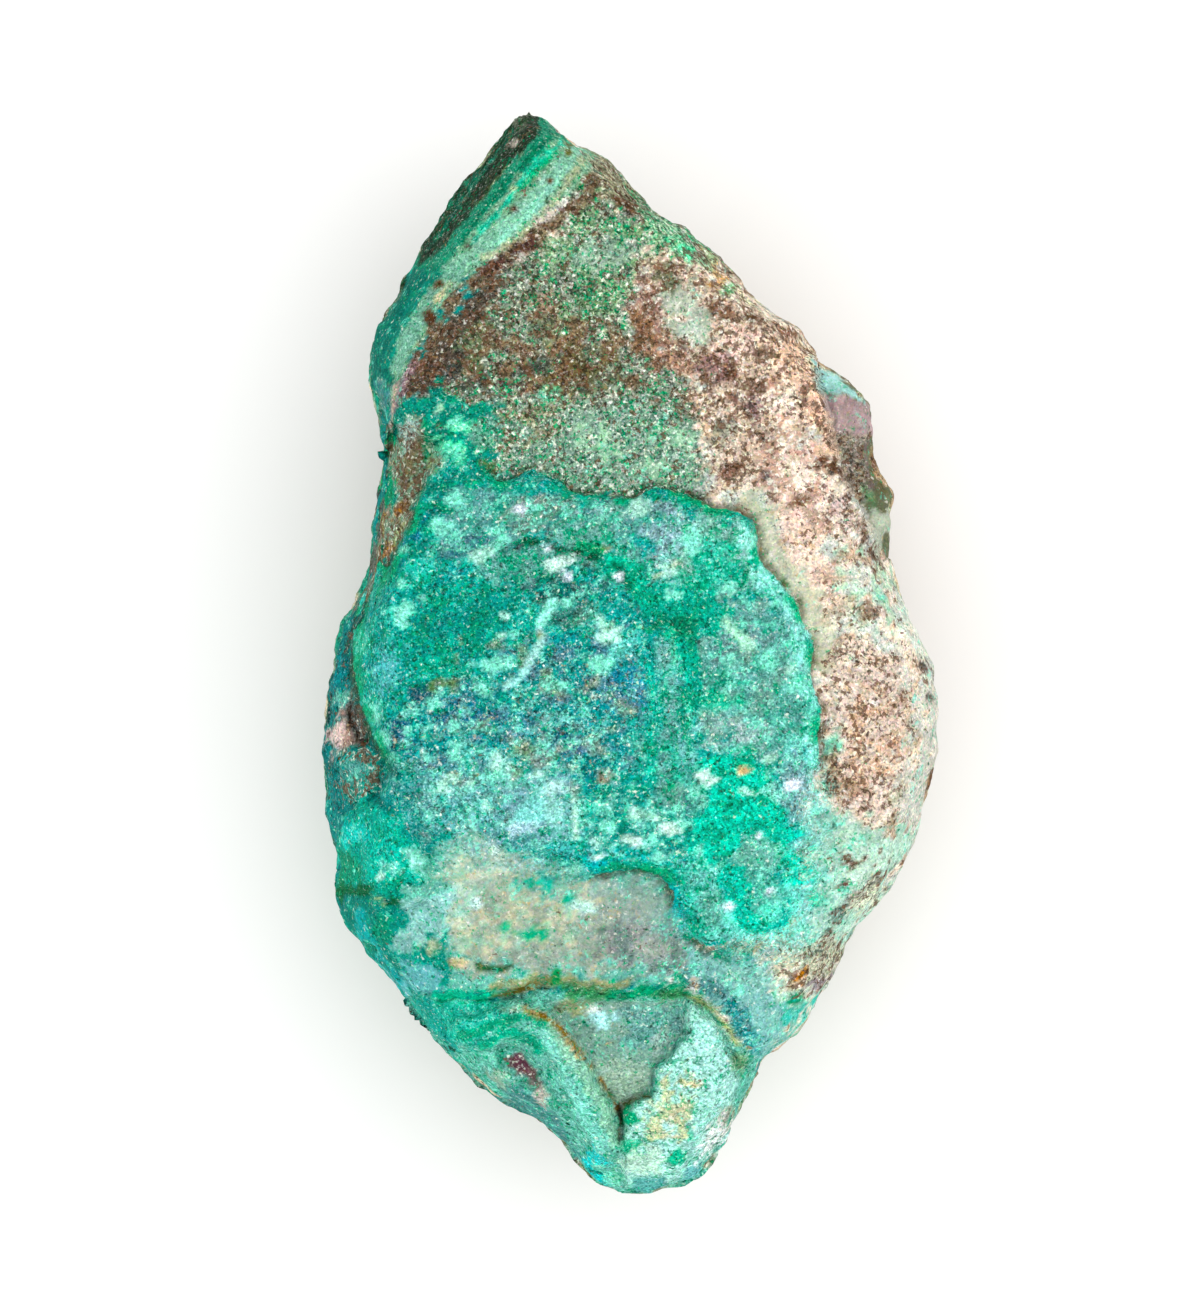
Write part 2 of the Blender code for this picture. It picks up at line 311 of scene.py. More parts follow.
crustOutline = (
    (-9.8, 9.9), (-8.5, 9.6), (-7.2, 9.3), (-6.7, 8.9), (-6, 9), (-5.4, 9.4), (-5, 9.5), (-4.4, 9.3),
    (-3.5, 8.9), (-3.2, 8.4), (-2.3, 8.2), (-1.6, 8.3), (-0.6, 8.1), (0.2, 8), (0.9, 8.5), (1.7, 8.6),
    (2.5, 8.4), (3.1, 8.2), (3.9, 7.7), (4.3, 7.5), (4.9, 7.6), (5.7, 7.3), (6.2, 7), (6.5, 6.5), (6.6, 6),
    (6.5, 5.7), (6.6, 5.2), (6.9, 4.5), (7.4, 4.1), (7.9, 3.4), (8.4, 3), (8.7, 2.5), (8.8, 1.8), (9.2, 1),
    (9.5, 0.4), (9.4, -0.2), (9.3, -1), (9.5, -1.9), (9.9, -2.8), (9.8, -3.6), (9.6, -4.1), (9.8, -4.9),
    (9.7, -6), (9.9, -7), (9.9, -8), (9.7, -9.5), (9.7, -10.7), (9.9, -12.7), (8.8, -15), (6.2, -15.6),
    (3.9, -15.3), (3.1, -14.5), (2.3, -13.5), (2.2, -12.2), (1.6, -11.4), (0.5, -11.1), (-1, -11.2),
    (-2, -11.4), (-4.6, -10.8), (-7.7, -10.1), (-10.3, -10.1), (-11.6, -7.6), (-12.3, -6.1), (-12.9, -5),
    (-13.3, -4.1), (-13.8, -2.9), (-14.2, -1.1), (-14.3, 0.4), (-14.2, 1.4), (-13.7, 2.2), (-13.1, 3.4),
    (-12.5, 4.4), (-11.9, 5.4), (-11.3, 6.6), (-11, 7.8), (-10.4, 8.9),
)
# where the crust thins out with no lip: place and radius in mm
crustFades = (
    ((10.0, -7.6), 2.4), ((9.7, -11.1), 2.6), ((-9.2, 9.9), 2.2), ((-8.2, -10.1), 6.5),
    ((-10.8, -8.3), 4.0), ((-4.4, -11.8), 3.0), ((10.3, -14.3), 3.4), ((7.2, -16.1), 3.2),
    ((2.4, -14.0), 1.2),
)

ledgeOutline = (
    (9.5, 15.6), (9.8, 14.7), (9.9, 13.9), (10.3, 12.6), (10.6, 11.1), (11.1, 9.5), (11.9, 7.8),
    (12.8, 5.9), (13.1, 4.8), (15, 4.3), (15, 16.2), (10.3, 16.7),
)

reliefMarks = (
    patch(ledgeOutline, squash=0.8, soft=0.12, wander=0.06),
    # the dark side facet left of the crust, with its hollow and lumps
    patch(((-9.8, 11), (-11, 7.9), (-12.5, 4.4), (-14.3, 0.7), (-14.3, -1.4), (-13.8, -2.9), (-12.9, -5),
        (-12.3, -6.1), (-12.9, -7.6), (-14.7, -8.3), (-17.5, -7.6), (-17.5, 2.8), (-14.7, 4.8), (-13.3, 9),
        (-12.1, 12)), squash=0.28, soft=0.35, wander=0.2),
    spot(-14, -3.6, 2.6, 0.9, 100, lift=-0.8, soft=0.35, wander=0.15),
    spot(-13.8, -6.3, 2.8, 1.8, 100, lift=0.6, soft=0.5, wander=0.3),
    spot(-15.1, -4.2, 3.4, 0.6, 85, lift=0.4, soft=0.3, wander=0.1),
    # raised green knob low on the left, with short crevices under it
    patch(((-14.5, -8.2), (-13.4, -7.3), (-12.6, -8.2), (-11.5, -9.3), (-10.6, -10.6), (-10.2, -11.7),
        (-10.8, -12.7), (-11.9, -13.2), (-12.9, -12.5), (-13.8, -12.5), (-15.1, -12), (-15.5, -10.8),
        (-14.9, -9.4)), lift=0.75, soft=0.7, wander=0.3),
    stripe(((-14.9, -12.1), (-14.3, -12.3), (-13.6, -12.5)), 0.35, lift=-0.4, soft=0.25, wander=0.2),
    stripe(((-12.4, -13), (-11.5, -13.1), (-10.7, -12.8)), 0.35, lift=-0.5, soft=0.25, wander=0.2),
    spot(-13, -13, 0.9, 0.7, 60, lift=0.3, soft=0.3, wander=0.1),
    # inside the crust: a sunk middle, low ridges and small holes
    patch(((-9.8, 4.8), (-6.7, 5.6), (-4.4, 5.3), (-1.5, 4.8), (-0.2, 3.7), (0.5, 2.8), (1.3, 0.7),
        (1, -2.4), (0.8, -5.5), (-1.5, -7.6), (-5.7, -7), (-9.3, -5.5), (-10.8, 0.2)), lift=-0.22,
        soft=0.15, wander=0.3),
    stripe(((0.8, 2.8), (1.3, 0.7), (1.1, -1.9), (0.8, -4.2)), 0.5, lift=0.2, soft=0.25, wander=0.3),
    stripe(((2, 2.2), (2.4, 0.2), (3.1, -2.1), (2.6, -4.2), (3.2, -5.8)), 0.45, lift=0.22, soft=0.25,
        wander=0.35),
    spot(-6, 5.5, 0.9, 0.25, 20, lift=-0.25, soft=0.12, wander=0.15),
    stripe(((-5.4, 5.7), (-4.7, 5.8), (-3.9, 5.5)), 0.22, lift=-0.25, soft=0.12, wander=0.2),
    stripe(((-3.3, 5.1), (-2.6, 5), (-1.7, 5)), 0.25, lift=-0.3, soft=0.12, wander=0.2),
    spot(-0.7, 4.6, 0.6, 0.35, -40, lift=-0.3, soft=0.12, wander=0.1),
    spot(0.1, 3.6, 0.7, 0.4, -50, lift=-0.25, soft=0.12, wander=0.1),
    stripe(((1.3, 2.1), (2.2, 1), (3.1, 0.3)), 0.5, lift=-0.25, soft=0.2, wander=0.3),
    spot(7.2, -13.6, 2.4, 1.5, 25, lift=0.25, soft=0.2, wander=0.2),
    # the folded blunt end: crease, lobes, recess and slit
    patch(((-10.8, -17.5), (-9.3, -17.7), (-6.7, -17.9), (-4.6, -17.5), (-3.6, -17.4), (-1, -17.7),
        (2.6, -17.6), (3.9, -18), (5.7, -21.1), (7.2, -22), (4.7, -29.2), (-2.6, -29.2), (-12.9, -18.4)),
        lift=-0.75, soft=0.3, wander=0.15),
    stripe(((-9.7, -17.7), (-7, -17.7), (-5.5, -17.4), (-4.6, -17.1), (-3, -17.3), (-1.3, -17.6),
        (0.8, -17.5), (2.8, -17.4)), 0.5, lift=-0.7, soft=0.3, wander=0.25),
    spot(-3.8, -16.5, 1.1, 0.9, 80, lift=0.3, soft=0.3, wander=0.1),
    stripe(((-8.7, -19.8), (-7, -19.3), (-5.5, -18.9), (-4.4, -19.2), (-3.6, -20.1), (-2.8, -21.7),
        (-2, -23.6), (-1.3, -25.6)), 1.7, lift=1.15, soft=0.9, wander=0.2),
    spot(-5.7, -21.3, 2.6, 1.5, -50, lift=-0.55, soft=0.4, wander=0.2),
    stripe(((-4.6, -21.2), (-4.1, -22.4), (-3.4, -23.7), (-2.8, -25.2)), 0.35, lift=-0.35, soft=0.3,
        wander=0.2),
    patch(((3.1, -18), (4.6, -19.4), (5.6, -22), (4.8, -25.6), (3.1, -27.3), (-0.2, -27.5), (-0.6, -25.6),
        (-0.2, -23.8), (0.3, -23.1), (1.1, -22.8), (1.3, -21.5), (2.1, -20.8), (2.8, -19.6), (2.9, -18.4)),
        lift=0.95, soft=0.22, wander=0.15),
    patch(((-4.2, -18.1), (2.8, -18), (2.8, -19.6), (2.1, -20.8), (1.3, -21.5), (1.1, -22.8), (0.3, -23),
        (-0.4, -23.7), (-1.1, -22.8), (-2, -21.4), (-3, -20.2), (-3.8, -19.2)), lift=-0.85, soft=0.25,
        wander=0.12),
    stripe(((-0.5, -23.6), (-0.4, -24.3), (-0.4, -25.1)), 0.24, lift=-0.9, soft=0.14, wander=0.08),
    stripe(((-0.3, -23.3), (0.3, -23), (1, -22.9)), 0.25, lift=-0.5, soft=0.15, wander=0.1),
    stripe(((2.9, -17.6), (3.7, -18), (4.6, -18.8), (5.2, -19.6), (5.6, -20.5)), 0.35, lift=-0.35,
        soft=0.25, wander=0.15),
    patch(((0.1, -27.1), (1.8, -27.1), (1.7, -28.2), (0.2, -28.2)), lift=-0.5, soft=0.15, wander=0.1),
    stripe(((-7.8, -16.1), (-7.2, -16.3), (-6.5, -16.3), (-6.1, -16.1)), 0.3, lift=-0.3, soft=0.15,
        wander=0.15),

    # dark clots and pits in the tan side
    spot(10.2, -4, 0.9, 0.6, 0, lift=-0.35, soft=0.2, wander=0.2),
    spot(10.8, -6.7, 2, 1.2, -20, lift=-0.3, soft=0.3, wander=0.3),
    spot(12.2, 2.1, 1.4, 0.6, -60, lift=-0.3, soft=0.2, wander=0.2),
    # lower edge of the banded corner
    stripe(((-1.5, 24.8), (-2.8, 23), (-3.9, 22), (-5.7, 20.7), (-6.8, 20.1), (-7.8, 19.3), (-8.9, 18.1),
        (-9.9, 16.8), (-11.2, 14.9)), 0.6, lift=-0.18, soft=0.4, wander=0.3),
)


def markMask(mark, places, stray, crumbs):
    # 1 inside the mark and 0 outside. The edge strays with one noise and crumbles with a finer one
    mask = np.ones(len(places))
    if "depthIn" in mark:
        soft = mark["soft"]
        depth = mark["depthIn"](places[:, 0], places[:, 1]) + mark["wander"] * stray + 0.9 * soft * crumbs
        mask = fade(depth, -0.08 - 0.2 * soft, 0.08 + 0.2 * soft)
    if "patchy" in mark:
        size, cover = mark["patchy"]
        noise = clouds(places, size, int(1000 * size) + mark.get("seed", 0), 3)
        edge = np.quantile(noise, 1.0 - cover)
        mask = mask * fade(noise, edge - 0.12, edge + 0.12)
    return mask


def crustCover(x, y, stray):
    # the green crust: a crisp, slightly ragged edge that turns wide and soft where the crust thins
    # out. Gives the cover, the depth inside, how crisp the edge is, and a slope for the material
    thin = np.zeros(len(x))
    for middle, radius in crustFades:
        thin = np.maximum(thin, fade(np.hypot(x - middle[0], y - middle[1]), radius, 0.4 * radius))
    soft = 0.14 + 3.2 * thin
    depth = depthInArea(crustOutline, x, y) + (0.18 + 0.9 * thin) * stray
    edge = np.clip(0.5 + 0.1 * depth / (0.1 + 3.2 * thin), 0.0, 1.0)
    return fade(depth, -0.5 * soft, 0.5 * soft), depth, 1.0 - thin, edge


# Colours of the upper face. Marks are laid in this order, and colours are 0 to 255.

# share of the place that turns, as fine specks: dark, pale, green, brown; as clouds: emerald, mint,
# slate, ochre; the last number is how strong the grain is
mixes = {
    "tan": (0.05, 0.13, 0.01, 0.3, 0.0, 0.02, 0.02, 0.24, 0.75),
    "dotted": (0.12, 0.26, 0.02, 0.54, 0.02, 0.03, 0.0, 0.18, 0.85),
    "cream": (0.02, 0.2, 0.01, 0.2, 0.0, 0.03, 0.0, 0.12, 0.7),
    "clot": (0.34, 0.08, 0.03, 0.5, 0.0, 0.0, 0.04, 0.14, 0.9),
    "granular": (0.3, 0.15, 0.42, 0.4, 0.12, 0.05, 0.0, 0.1, 1.3),
    "greenish": (0.26, 0.17, 0.48, 0.2, 0.22, 0.1, 0.0, 0.04, 1.3),
    "sage": (0.16, 0.22, 0.32, 0.24, 0.12, 0.18, 0.0, 0.08, 1.3),
    "banded": (0.12, 0.04, 0.15, 0.06, 0.16, 0.1, 0.04, 0.03, 1.1),
    "murky": (0.3, 0.01, 0.1, 0.14, 0.12, 0.02, 0.1, 0.06, 0.9),
    "crust": (0.16, 0.03, 0.12, 0.01, 0.34, 0.28, 0.2, 0.05, 1.15),
    "deep": (0.2, 0.01, 0.14, 0.01, 0.5, 0.05, 0.1, 0.02, 1.1),
    "slaty": (0.2, 0.05, 0.08, 0.01, 0.2, 0.32, 0.36, 0.14, 1.25),
    "mint": (0.08, 0.06, 0.06, 0.0, 0.2, 0.45, 0.08, 0.02, 1.0),
    "clean": (0.04, 0.004, 0.05, 0.01, 0.08, 0.0, 0.0, 0.0, 1.0),
    "lobes": (0.12, 0.03, 0.14, 0.02, 0.34, 0.18, 0.05, 0.04, 1.0),
    "film": (0.08, 0.04, 0.1, 0.02, 0.2, 0.28, 0.08, 0.06, 0.6),
    "smooth": (0.02, 0.03, 0.05, 0.02, 0.1, 0.12, 0.08, 0.14, 0.35),
}

paintMarks = (
    # the tan rock under everything
    allOver((198, 206, 198), "tan"),
    allOver((242, 226, 210), "cream", 0.85, patchy=(1.7, 0.4)),
    allOver((182, 148, 118), "tan", 0.6, patchy=(1.1, 0.25), seed=5),
    patch(((-5.7, 28.3), (-7.7, 20.8), (0.5, 12), (0.5, -2.4), (1.6, -12.7), (3.6, -28.2), (-3.6, -29.2),
        (-18, -17.9), (-18, 7.9), (-12.9, 20.8)), (24, 128, 124), "film", 1, 1, 0.8),

    # granular face between the banded corner and the crust
    patch(((-2.3, 27), (-3.6, 21.9), (-5.7, 20.6), (-7.7, 18.8), (-9.8, 16.7), (-12.1, 13.6), (-9.8, 12),
        (-8.2, 12), (-7.2, 9.3), (-5.1, 9), (-1.5, 7.9), (3.6, 7.4), (4.3, 9.5), (3.6, 11), (4.3, 13.1),
        (3.1, 14.6), (1.3, 15.7), (0.5, 17), (0.5, 18.8), (1.7, 20.2), (3.6, 20.4), (6.2, 18.8),
        (8.3, 19.3), (3.1, 24.4), (-0.5, 27.5)), (134, 148, 132), "granular", 1, 1, 1),
    patch(((-3.6, 26), (4.8, 20.8), (3.6, 20.2), (0.5, 18.8), (0.3, 16.7), (-3.6, 16.7), (-4.6, 20.8)),
        (128, 160, 124), "greenish", 0.85, 0.8, patchy=(1.3, 0.5)),
    patch(((-8.2, 18.2), (-3.6, 18.2), (0.5, 16.2), (1.1, 13.6), (-4.6, 13.3), (-9.8, 13.6)),
        (128, 104, 80), "clot", 0.8, 1, patchy=(1.2, 0.5)),
    spot(-0.7, 24.3, 3.6, 2, -40, (168, 168, 142), "clot", 0.85, 0.7, 0.9),
    spot(-0.1, 23.1, 1.6, 0.8, -35, (92, 70, 54), "clot", wander=0.5),
    spot(-2.1, 23.7, 0.8, 0.7, 0, (64, 48, 42), wander=0.5),
    spot(-1.8, 24.4, 0.7, 0.5, -20, (70, 54, 48), wander=0.3),
    spot(-3.3, 25.2, 1.3, 0.8, -60, (120, 112, 72), None, 0.8, wander=0.4),
    spot(1.7, 22.3, 2.4, 1.4, -40, (170, 212, 178), "greenish", 0.7, 0.6, 0.6),
    spot(-1.5, 20.5, 1.3, 0.4, 10, (206, 226, 206), soft=0.25),
    spot(-1, 20.8, 3.6, 1.5, 0, (154, 182, 164), "banded", 0.75, wander=0.7),
    spot(-2, 18.1, 2, 1.5, 0, (98, 128, 96), "greenish", 0.8),
    spot(-4.4, 18.2, 1.6, 1.2, 0, (156, 130, 112), "greenish", 0.7, wander=0.6),
    spot(-2.6, 14.4, 3.4, 2.6, 15, (92, 90, 60), "clot", 0.8, 1.2, 1),
    spot(-4.4, 16.7, 1.6, 1.5, 0, (102, 124, 100), "clot", 0.7, wander=0.7),
    spot(-8.6, 16.4, 4, 2.4, 60, (86, 104, 78), "clot", 0.85),
    spot(-10, 14.5, 3, 2, 50, (52, 58, 60), "clot", 0.85),
    patch(((-12, 13.4), (-11.7, 14.6), (-10.6, 16.1), (-9.5, 17.6), (-8.2, 18.8), (-7.1, 19.8), (-6.5, 19),
        (-7.7, 17.3), (-8.8, 15.9), (-9.5, 14), (-10.8, 13.2)), (78, 70, 62), "clot", 0.92, 0.5, 0.5),
    stripe(((-9, 13.7), (-8.3, 13.8), (-7.4, 13.9), (-6.3, 14.4), (-4.6, 15)), 0.5, (22, 4, 4), "murky",
        0.7, 0.5, 0.6),
    spot(-4.1, 13.4, 1.1, 0.8, 0, (128, 196, 158)),
    spot(-6.1, 13.7, 1.2, 1.6, 70, (100, 52, 54), "greenish", 0.7),
    patch(((-8.2, 13.3), (-3.6, 12.8), (0.5, 13.3), (3.6, 12), (4.3, 9.5), (3.1, 8), (-0.5, 8), (-4.6, 8.8),
        (-7.2, 9.5)), (126, 158, 142), "sage", 0.85, 1, 1),
    patch(((-7.7, 13.1), (-3.6, 13.1), (-3.6, 11), (-6.7, 10.5)), (150, 140, 112), "granular", 0.7, 1,
        patchy=(1.1, 0.5)),
    patch(((-3.6, 12), (3.6, 11.5), (3.1, 9), (-1.5, 9)), (168, 206, 176), "film", 0.8, 0.8,
        patchy=(1, 0.4)),

    # banded corner: dark green side, partly painted shade, then the bands from the edge inwards
    patch(((-5.2, 28.8), (-4.2, 27.5), (-2.9, 26.8), (-1.5, 25.9), (-2.3, 24.6), (-3.3, 23.6), (-4.4, 22.3),
        (-5.9, 21.2), (-7.5, 20.2), (-9, 19), (-9.9, 17.2), (-11.2, 15.4), (-12.1, 12.8), (-14.4, 12.6),
        (-14.4, 18.8), (-11.8, 21.3), (-7.7, 28.6)), (128, 168, 142), "banded", 1, 0.2, 0.25),
    # the side's own dark green, made darker as painted shade of a face turned from the light
    patch(((-5.2, 28.8), (-4.2, 27.5), (-4.4, 26.7), (-5.7, 25.6), (-6.7, 24.3), (-7.8, 22.9), (-9, 21.2),
        (-9.9, 20.2), (-11.4, 19.6), (-13.4, 18.8), (-13.9, 21.3), (-7.7, 29.1)), (4, 50, 18), "murky", 1,
        0.15, 0.15),
    patch(((-14.4, 11.5), (-14.9, 18.8), (-11.8, 21.9), (-10, 20.2), (-10.6, 19.5), (-11.8, 17.2),
        (-12.3, 13.1)), (10, 76, 56), "murky", 0.75, 0.3, patchy=(1.5, 0.35)),
    patch(((-7.7, 29.1), (-11.8, 23.9), (-13.9, 19.3), (-10.4, 20.1), (-9, 21.3), (-6.7, 25.5)),
        (40, 116, 92), "banded", 0.7, 0.3, patchy=(1.7, 0.35)),
    stripe(((-6, 26.9), (-7.2, 25.4), (-8.6, 23.4), (-9.9, 21.5), (-10.8, 20.2)), 0.3, (46, 114, 96), None,
        0.7, wander=0.1),
    stripe(((-6.4, 27.3), (-7.7, 25.6), (-9.3, 23.2), (-10.6, 21.1)), 0.25, (50, 62, 46), None, 0.7,
        wander=0.1),
    patch(((-5.1, 27.6), (-4.5, 27.4), (-4.3, 26.8), (-5.2, 26.1), (-6.3, 25.1), (-7.1, 23.8), (-8.2, 22.3),
        (-9.2, 20.9), (-10.3, 20), (-11.1, 20), (-10, 21.3), (-8.8, 23), (-7.7, 24.6), (-6.7, 26),
        (-6.1, 26.9)), (42, 56, 44), "murky", 0.92, 0.2, 0.25),
    stripe(((-6.3, 25.2), (-7.7, 23.4), (-9, 21.5)), 0.14, (110, 118, 78), None, 0.8),
    spot(-6.1, 26.4, 0.5, 0.3, 20, (176, 172, 160)),
    spot(-5.7, 27.6, 1.2, 0.6, 40, (116, 122, 108), None, 0.8),
    stripe(((-4.1, 27.1), (-4.6, 26.4), (-5.4, 25.6), (-6.4, 24.5), (-7.3, 23.3), (-8.2, 22.3),
        (-9.1, 21.1), (-9.8, 20.4), (-10.9, 19.6)), 0.75, (66, 134, 110), "clean", 1, 0.15, 0.2),
    stripe(((-4.2, 26.7), (-5.1, 25.8), (-6.2, 24.6), (-7.1, 23.5), (-8, 22.3), (-8.8, 21.2)), 0.14,
        (10, 112, 78), None, 0.85, wander=0.12),
    stripe(((-3.4, 26.5), (-4.6, 25.6), (-5.7, 24.4), (-6.5, 23.2), (-7.5, 22.1), (-8.3, 20.9)), 0.3,
        (88, 184, 156), "clean", wander=0.15),
    stripe(((-3.7, 26), (-4.7, 25.1), (-5.7, 23.9)), 0.2, (48, 170, 120), None, 0.8, wander=0.1),
    stripe(((-2.7, 26.2), (-3.8, 24.9), (-4.7, 23.8), (-5.5, 22.8), (-6.7, 21.6), (-7.8, 20.8), (-8.8, 20),
        (-9.7, 19.2)), 0.95, (142, 190, 168), "clean", 1, 0.25, 0.25),
    stripe(((-3.9, 24.4), (-4.8, 23.2), (-5.7, 22.3), (-6.8, 21.3)), 0.45, (152, 212, 190), "clean", 0.85,
        wander=0.3),
    stripe(((-2.1, 25.9), (-2.9, 24.9), (-3.7, 23.7), (-4.4, 22.7), (-5.9, 21.4), (-7.4, 20.5)), 0.35,
        (170, 178, 148), None, 0.8, wander=0.3),
    stripe(((-1.9, 24.5), (-2.2, 23.6), (-3.1, 23), (-4.3, 22), (-5.5, 21.2), (-6.4, 20.5), (-7.2, 19.7),
        (-8.2, 19), (-9.1, 18.2), (-9.7, 17.1), (-10.3, 16.2), (-11.1, 15.2)), 0.7, (126, 116, 96), "clot",
        0.95, 0.25, 0.35),
    stripe(((-3.6, 23.2), (-4.2, 22.7), (-4.7, 22.3)), 0.35, (206, 198, 190), None, 0.8),
    spot(-5.5, 21, 1.3, 0.8, 40, (74, 54, 52), "clot"),
    spot(-7, 20, 1.5, 0.8, 35, (80, 62, 56), "clot"),

    # below it the bands run on down the left edge
    patch(((-13.3, 19), (-11.4, 19.7), (-10.6, 19.9), (-10, 19.5), (-10.6, 18.4), (-11.4, 16.9),
        (-12, 15.1), (-12.6, 12.7), (-13.9, 13), (-14.1, 16.2)), (4, 110, 96), "film"),
    stripe(((-9.8, 19.7), (-10.6, 18.9), (-11.3, 17.9), (-11.9, 16.7), (-12.4, 15.1)), 0.5, (8, 132, 112),
        None, 0.8, wander=0.3),
    stripe(((-8.8, 19.9), (-9.7, 19.1), (-10.4, 18.1), (-11, 17.1), (-11.6, 16.1), (-12, 14.8)), 0.75,
        (126, 174, 154), "clean", wander=0.3),
    stripe(((-9.3, 19.2), (-10, 18.2)), 0.3, (216, 200, 160), None, 0.7),
    spot(-10.2, 17.6, 1, 0.7, 40, (84, 60, 46)),
    spot(-9.9, 19.1, 0.7, 0.4, 40, (96, 72, 52)),
    stripe(((-11.1, 15.1), (-11.6, 14.3), (-11.9, 13.4), (-12.2, 12.5)), 0.5, (148, 122, 130), None, 0.85),
    spot(-12.7, 13.3, 1.6, 0.9, 85, (120, 152, 150), None, 0.7),
    spot(-4.1, 24.5, 0.3, 0.3, 0, (84, 62, 44)),
    spot(-6, 23, 0.45, 0.35, 0, (74, 52, 38)),
    spot(-3.2, 26, 0.45, 0.35, 0, (96, 100, 56)),
    spot(-8.3, 21.1, 0.35, 0.3, 0, (84, 62, 44)),
    spot(-6, 24.1, 0.25, 0.2, 0, (226, 238, 198)),

    # tan side: brown dotted above, cream in the middle, sage by the crust, mint towards the edge
    patch(((0.5, 20.5), (3.6, 20.5), (6.7, 18.8), (8.9, 16.7), (10, 14.5), (10.6, 11.8), (8.8, 11.5),
        (7.2, 8.8), (4.4, 8.6), (4.1, 11), (2.9, 14.5), (1.2, 15.7), (0, 17.7)), (206, 188, 172), "dotted",
        1, 1.2, 1),
    patch(((0.5, 19.9), (2, 18.8), (2, 17.2), (3.6, 15.9), (3.1, 14.6), (1.3, 15.6), (0.2, 17.5)),
        (154, 130, 120), "dotted", 1, 0.7, 0.7),
    spot(2.8, 17.7, 3.6, 2.2, -62, (168, 180, 164), "film", 0.9, 0.9, 0.8),
    spot(3.1, 16.6, 1.4, 1, -60, (194, 208, 194), wander=0.4),
    spot(1.7, 19.6, 1.8, 1, -20, (92, 98, 72), "clot", 0.85, 0.5, 0.6),
    spot(0.9, 16.3, 2.4, 1.4, -65, (140, 112, 88), "clot", 0.85, 0.6, 0.7),
    spot(2.2, 15.4, 2.4, 1.1, -30, (182, 154, 136), "clot", 0.7, 0.6, 0.7),
    spot(2.9, 21, 1.4, 0.8, -30, (132, 226, 180), wander=0.4),
    spot(3.8, 20.5, 0.9, 1, 0, (112, 100, 88), "clot", 1, 0.3),
    spot(4.6, 19.7, 1.4, 1.1, -40, (214, 172, 122), None, 0.85, 0.5),
    spot(5.1, 18.9, 0.8, 0.6, 60, (96, 186, 132), None, 0.8),
    stripe(((3.6, 20.2), (5, 19.7), (6.1, 18.8), (7.6, 17.4)), 0.5, (164, 214, 178), None, 0.7, 0.4, 0.4),
    stripe(((5.8, 19), (7.2, 17.8), (8.6, 16.7), (9.2, 15.7), (9.5, 14.8)), 0.4, (250, 240, 208), None,
        0.85),
    spot(4.6, 15, 1.9, 1.8, 0, (134, 110, 108), "clot", 0.9, wander=0.8),
    spot(5.3, 14.5, 1, 0.7, 0, (124, 92, 78), "clot", 0.8, wander=0.4),
    spot(5, 17.7, 1.2, 0.9, -20, (118, 84, 66), "clot", 0.8, wander=0.6),
    spot(6.3, 17.5, 0.8, 0.5, -10, (112, 86, 70), None, 1, 0.25, 0.3),
    spot(8.1, 16.7, 1.3, 0.7, -60, (138, 108, 92), "clot", 1, 0.3, 0.4),
    spot(5.8, 16.1, 2, 1.2, 20, (248, 220, 208), "dotted", 0.6, wander=0.8),
    spot(6.5, 12.7, 2.2, 1.2, -70, (128, 104, 104), "clot", 0.9, 0.5, 0.7),
    spot(7.3, 10.8, 1.9, 1, -62, (112, 88, 80), "clot", 0.9, 0.4, 0.6),
    spot(5.2, 9.6, 1.4, 0.8, 10, (104, 76, 66), "clot", 0.85, 0.4, 0.5),
    spot(4.7, 11.6, 1.5, 1.2, 40, (140, 148, 134), "clot", 0.8, wander=0.7),
    spot(5.8, 13.5, 1.2, 0.7, 0, (124, 96, 84), "clot", 0.8, wander=0.5),
    stripe(((8.1, 15.6), (8.6, 14.5), (9.4, 13.5), (9.9, 12.2), (10.6, 10.8)), 1.3, (246, 210, 188),
        "dotted", 0.8, 0.5, 0.6),
    stripe(((7.4, 14.1), (7.7, 13.1), (8.1, 11.8), (8.6, 10.6)), 0.7, (180, 144, 128), "cream", 0.8, 0.4,
        0.5),
    patch(((7, 11.4), (8.8, 11.4), (10.2, 9.5), (10.9, 7.9), (11.4, 5.9), (9.3, 5.9), (7.5, 7.4), (6.6, 9)),
        (192, 164, 150), "cream", 0.9, 0.8, 0.8),
    patch(((7, 8.1), (8.8, 7.9), (10.3, 4.8), (11.4, 2.8), (9.8, 1.7), (8, 4.3)), (246, 220, 206), "tan",
        0.8, 0.8, 0.8),
    stripe(((7.4, 13.7), (7.8, 12.5), (8, 11), (8.8, 9.7), (10.3, 7.9), (11.5, 5.9)), 1.5, (255, 240, 226),
        "cream", 0.75, 0.5, 0.8, patchy=(0.9, 0.65)),
    stripe(((9.2, 10.7), (10.1, 9.7), (11, 7.8), (11.8, 6.3), (12.5, 5.2)), 0.8, (128, 98, 84), "clot",
        0.75, 0.5, 0.8, patchy=(0.9, 0.5)),
    spot(10.3, 9.8, 1.2, 0.8, -30, (104, 78, 66), "clot", wander=0.5),
    spot(10.8, 7.7, 1.7, 0.9, -65, (202, 188, 184), "clot", 0.85, 0.4, 0.5),
    spot(12.5, 5.3, 1.2, 0.7, -65, (104, 82, 74), "clot", 1, 0.3, 0.4),
    spot(8.8, 7.9, 0.8, 0.6, 0, (128, 100, 84), soft=0.3),
    spot(7.1, 9.1, 0.8, 0.4, -40, (92, 84, 84), soft=0.2),
    stripe(((6.3, 7.8), (7.1, 6.6), (7.1, 5.2), (8.2, 3.9), (9, 2.9), (9.8, 1.4), (10.2, -0.5)), 1.4,
        (184, 192, 172), "smooth", 0.85, 0.6, 0.5),
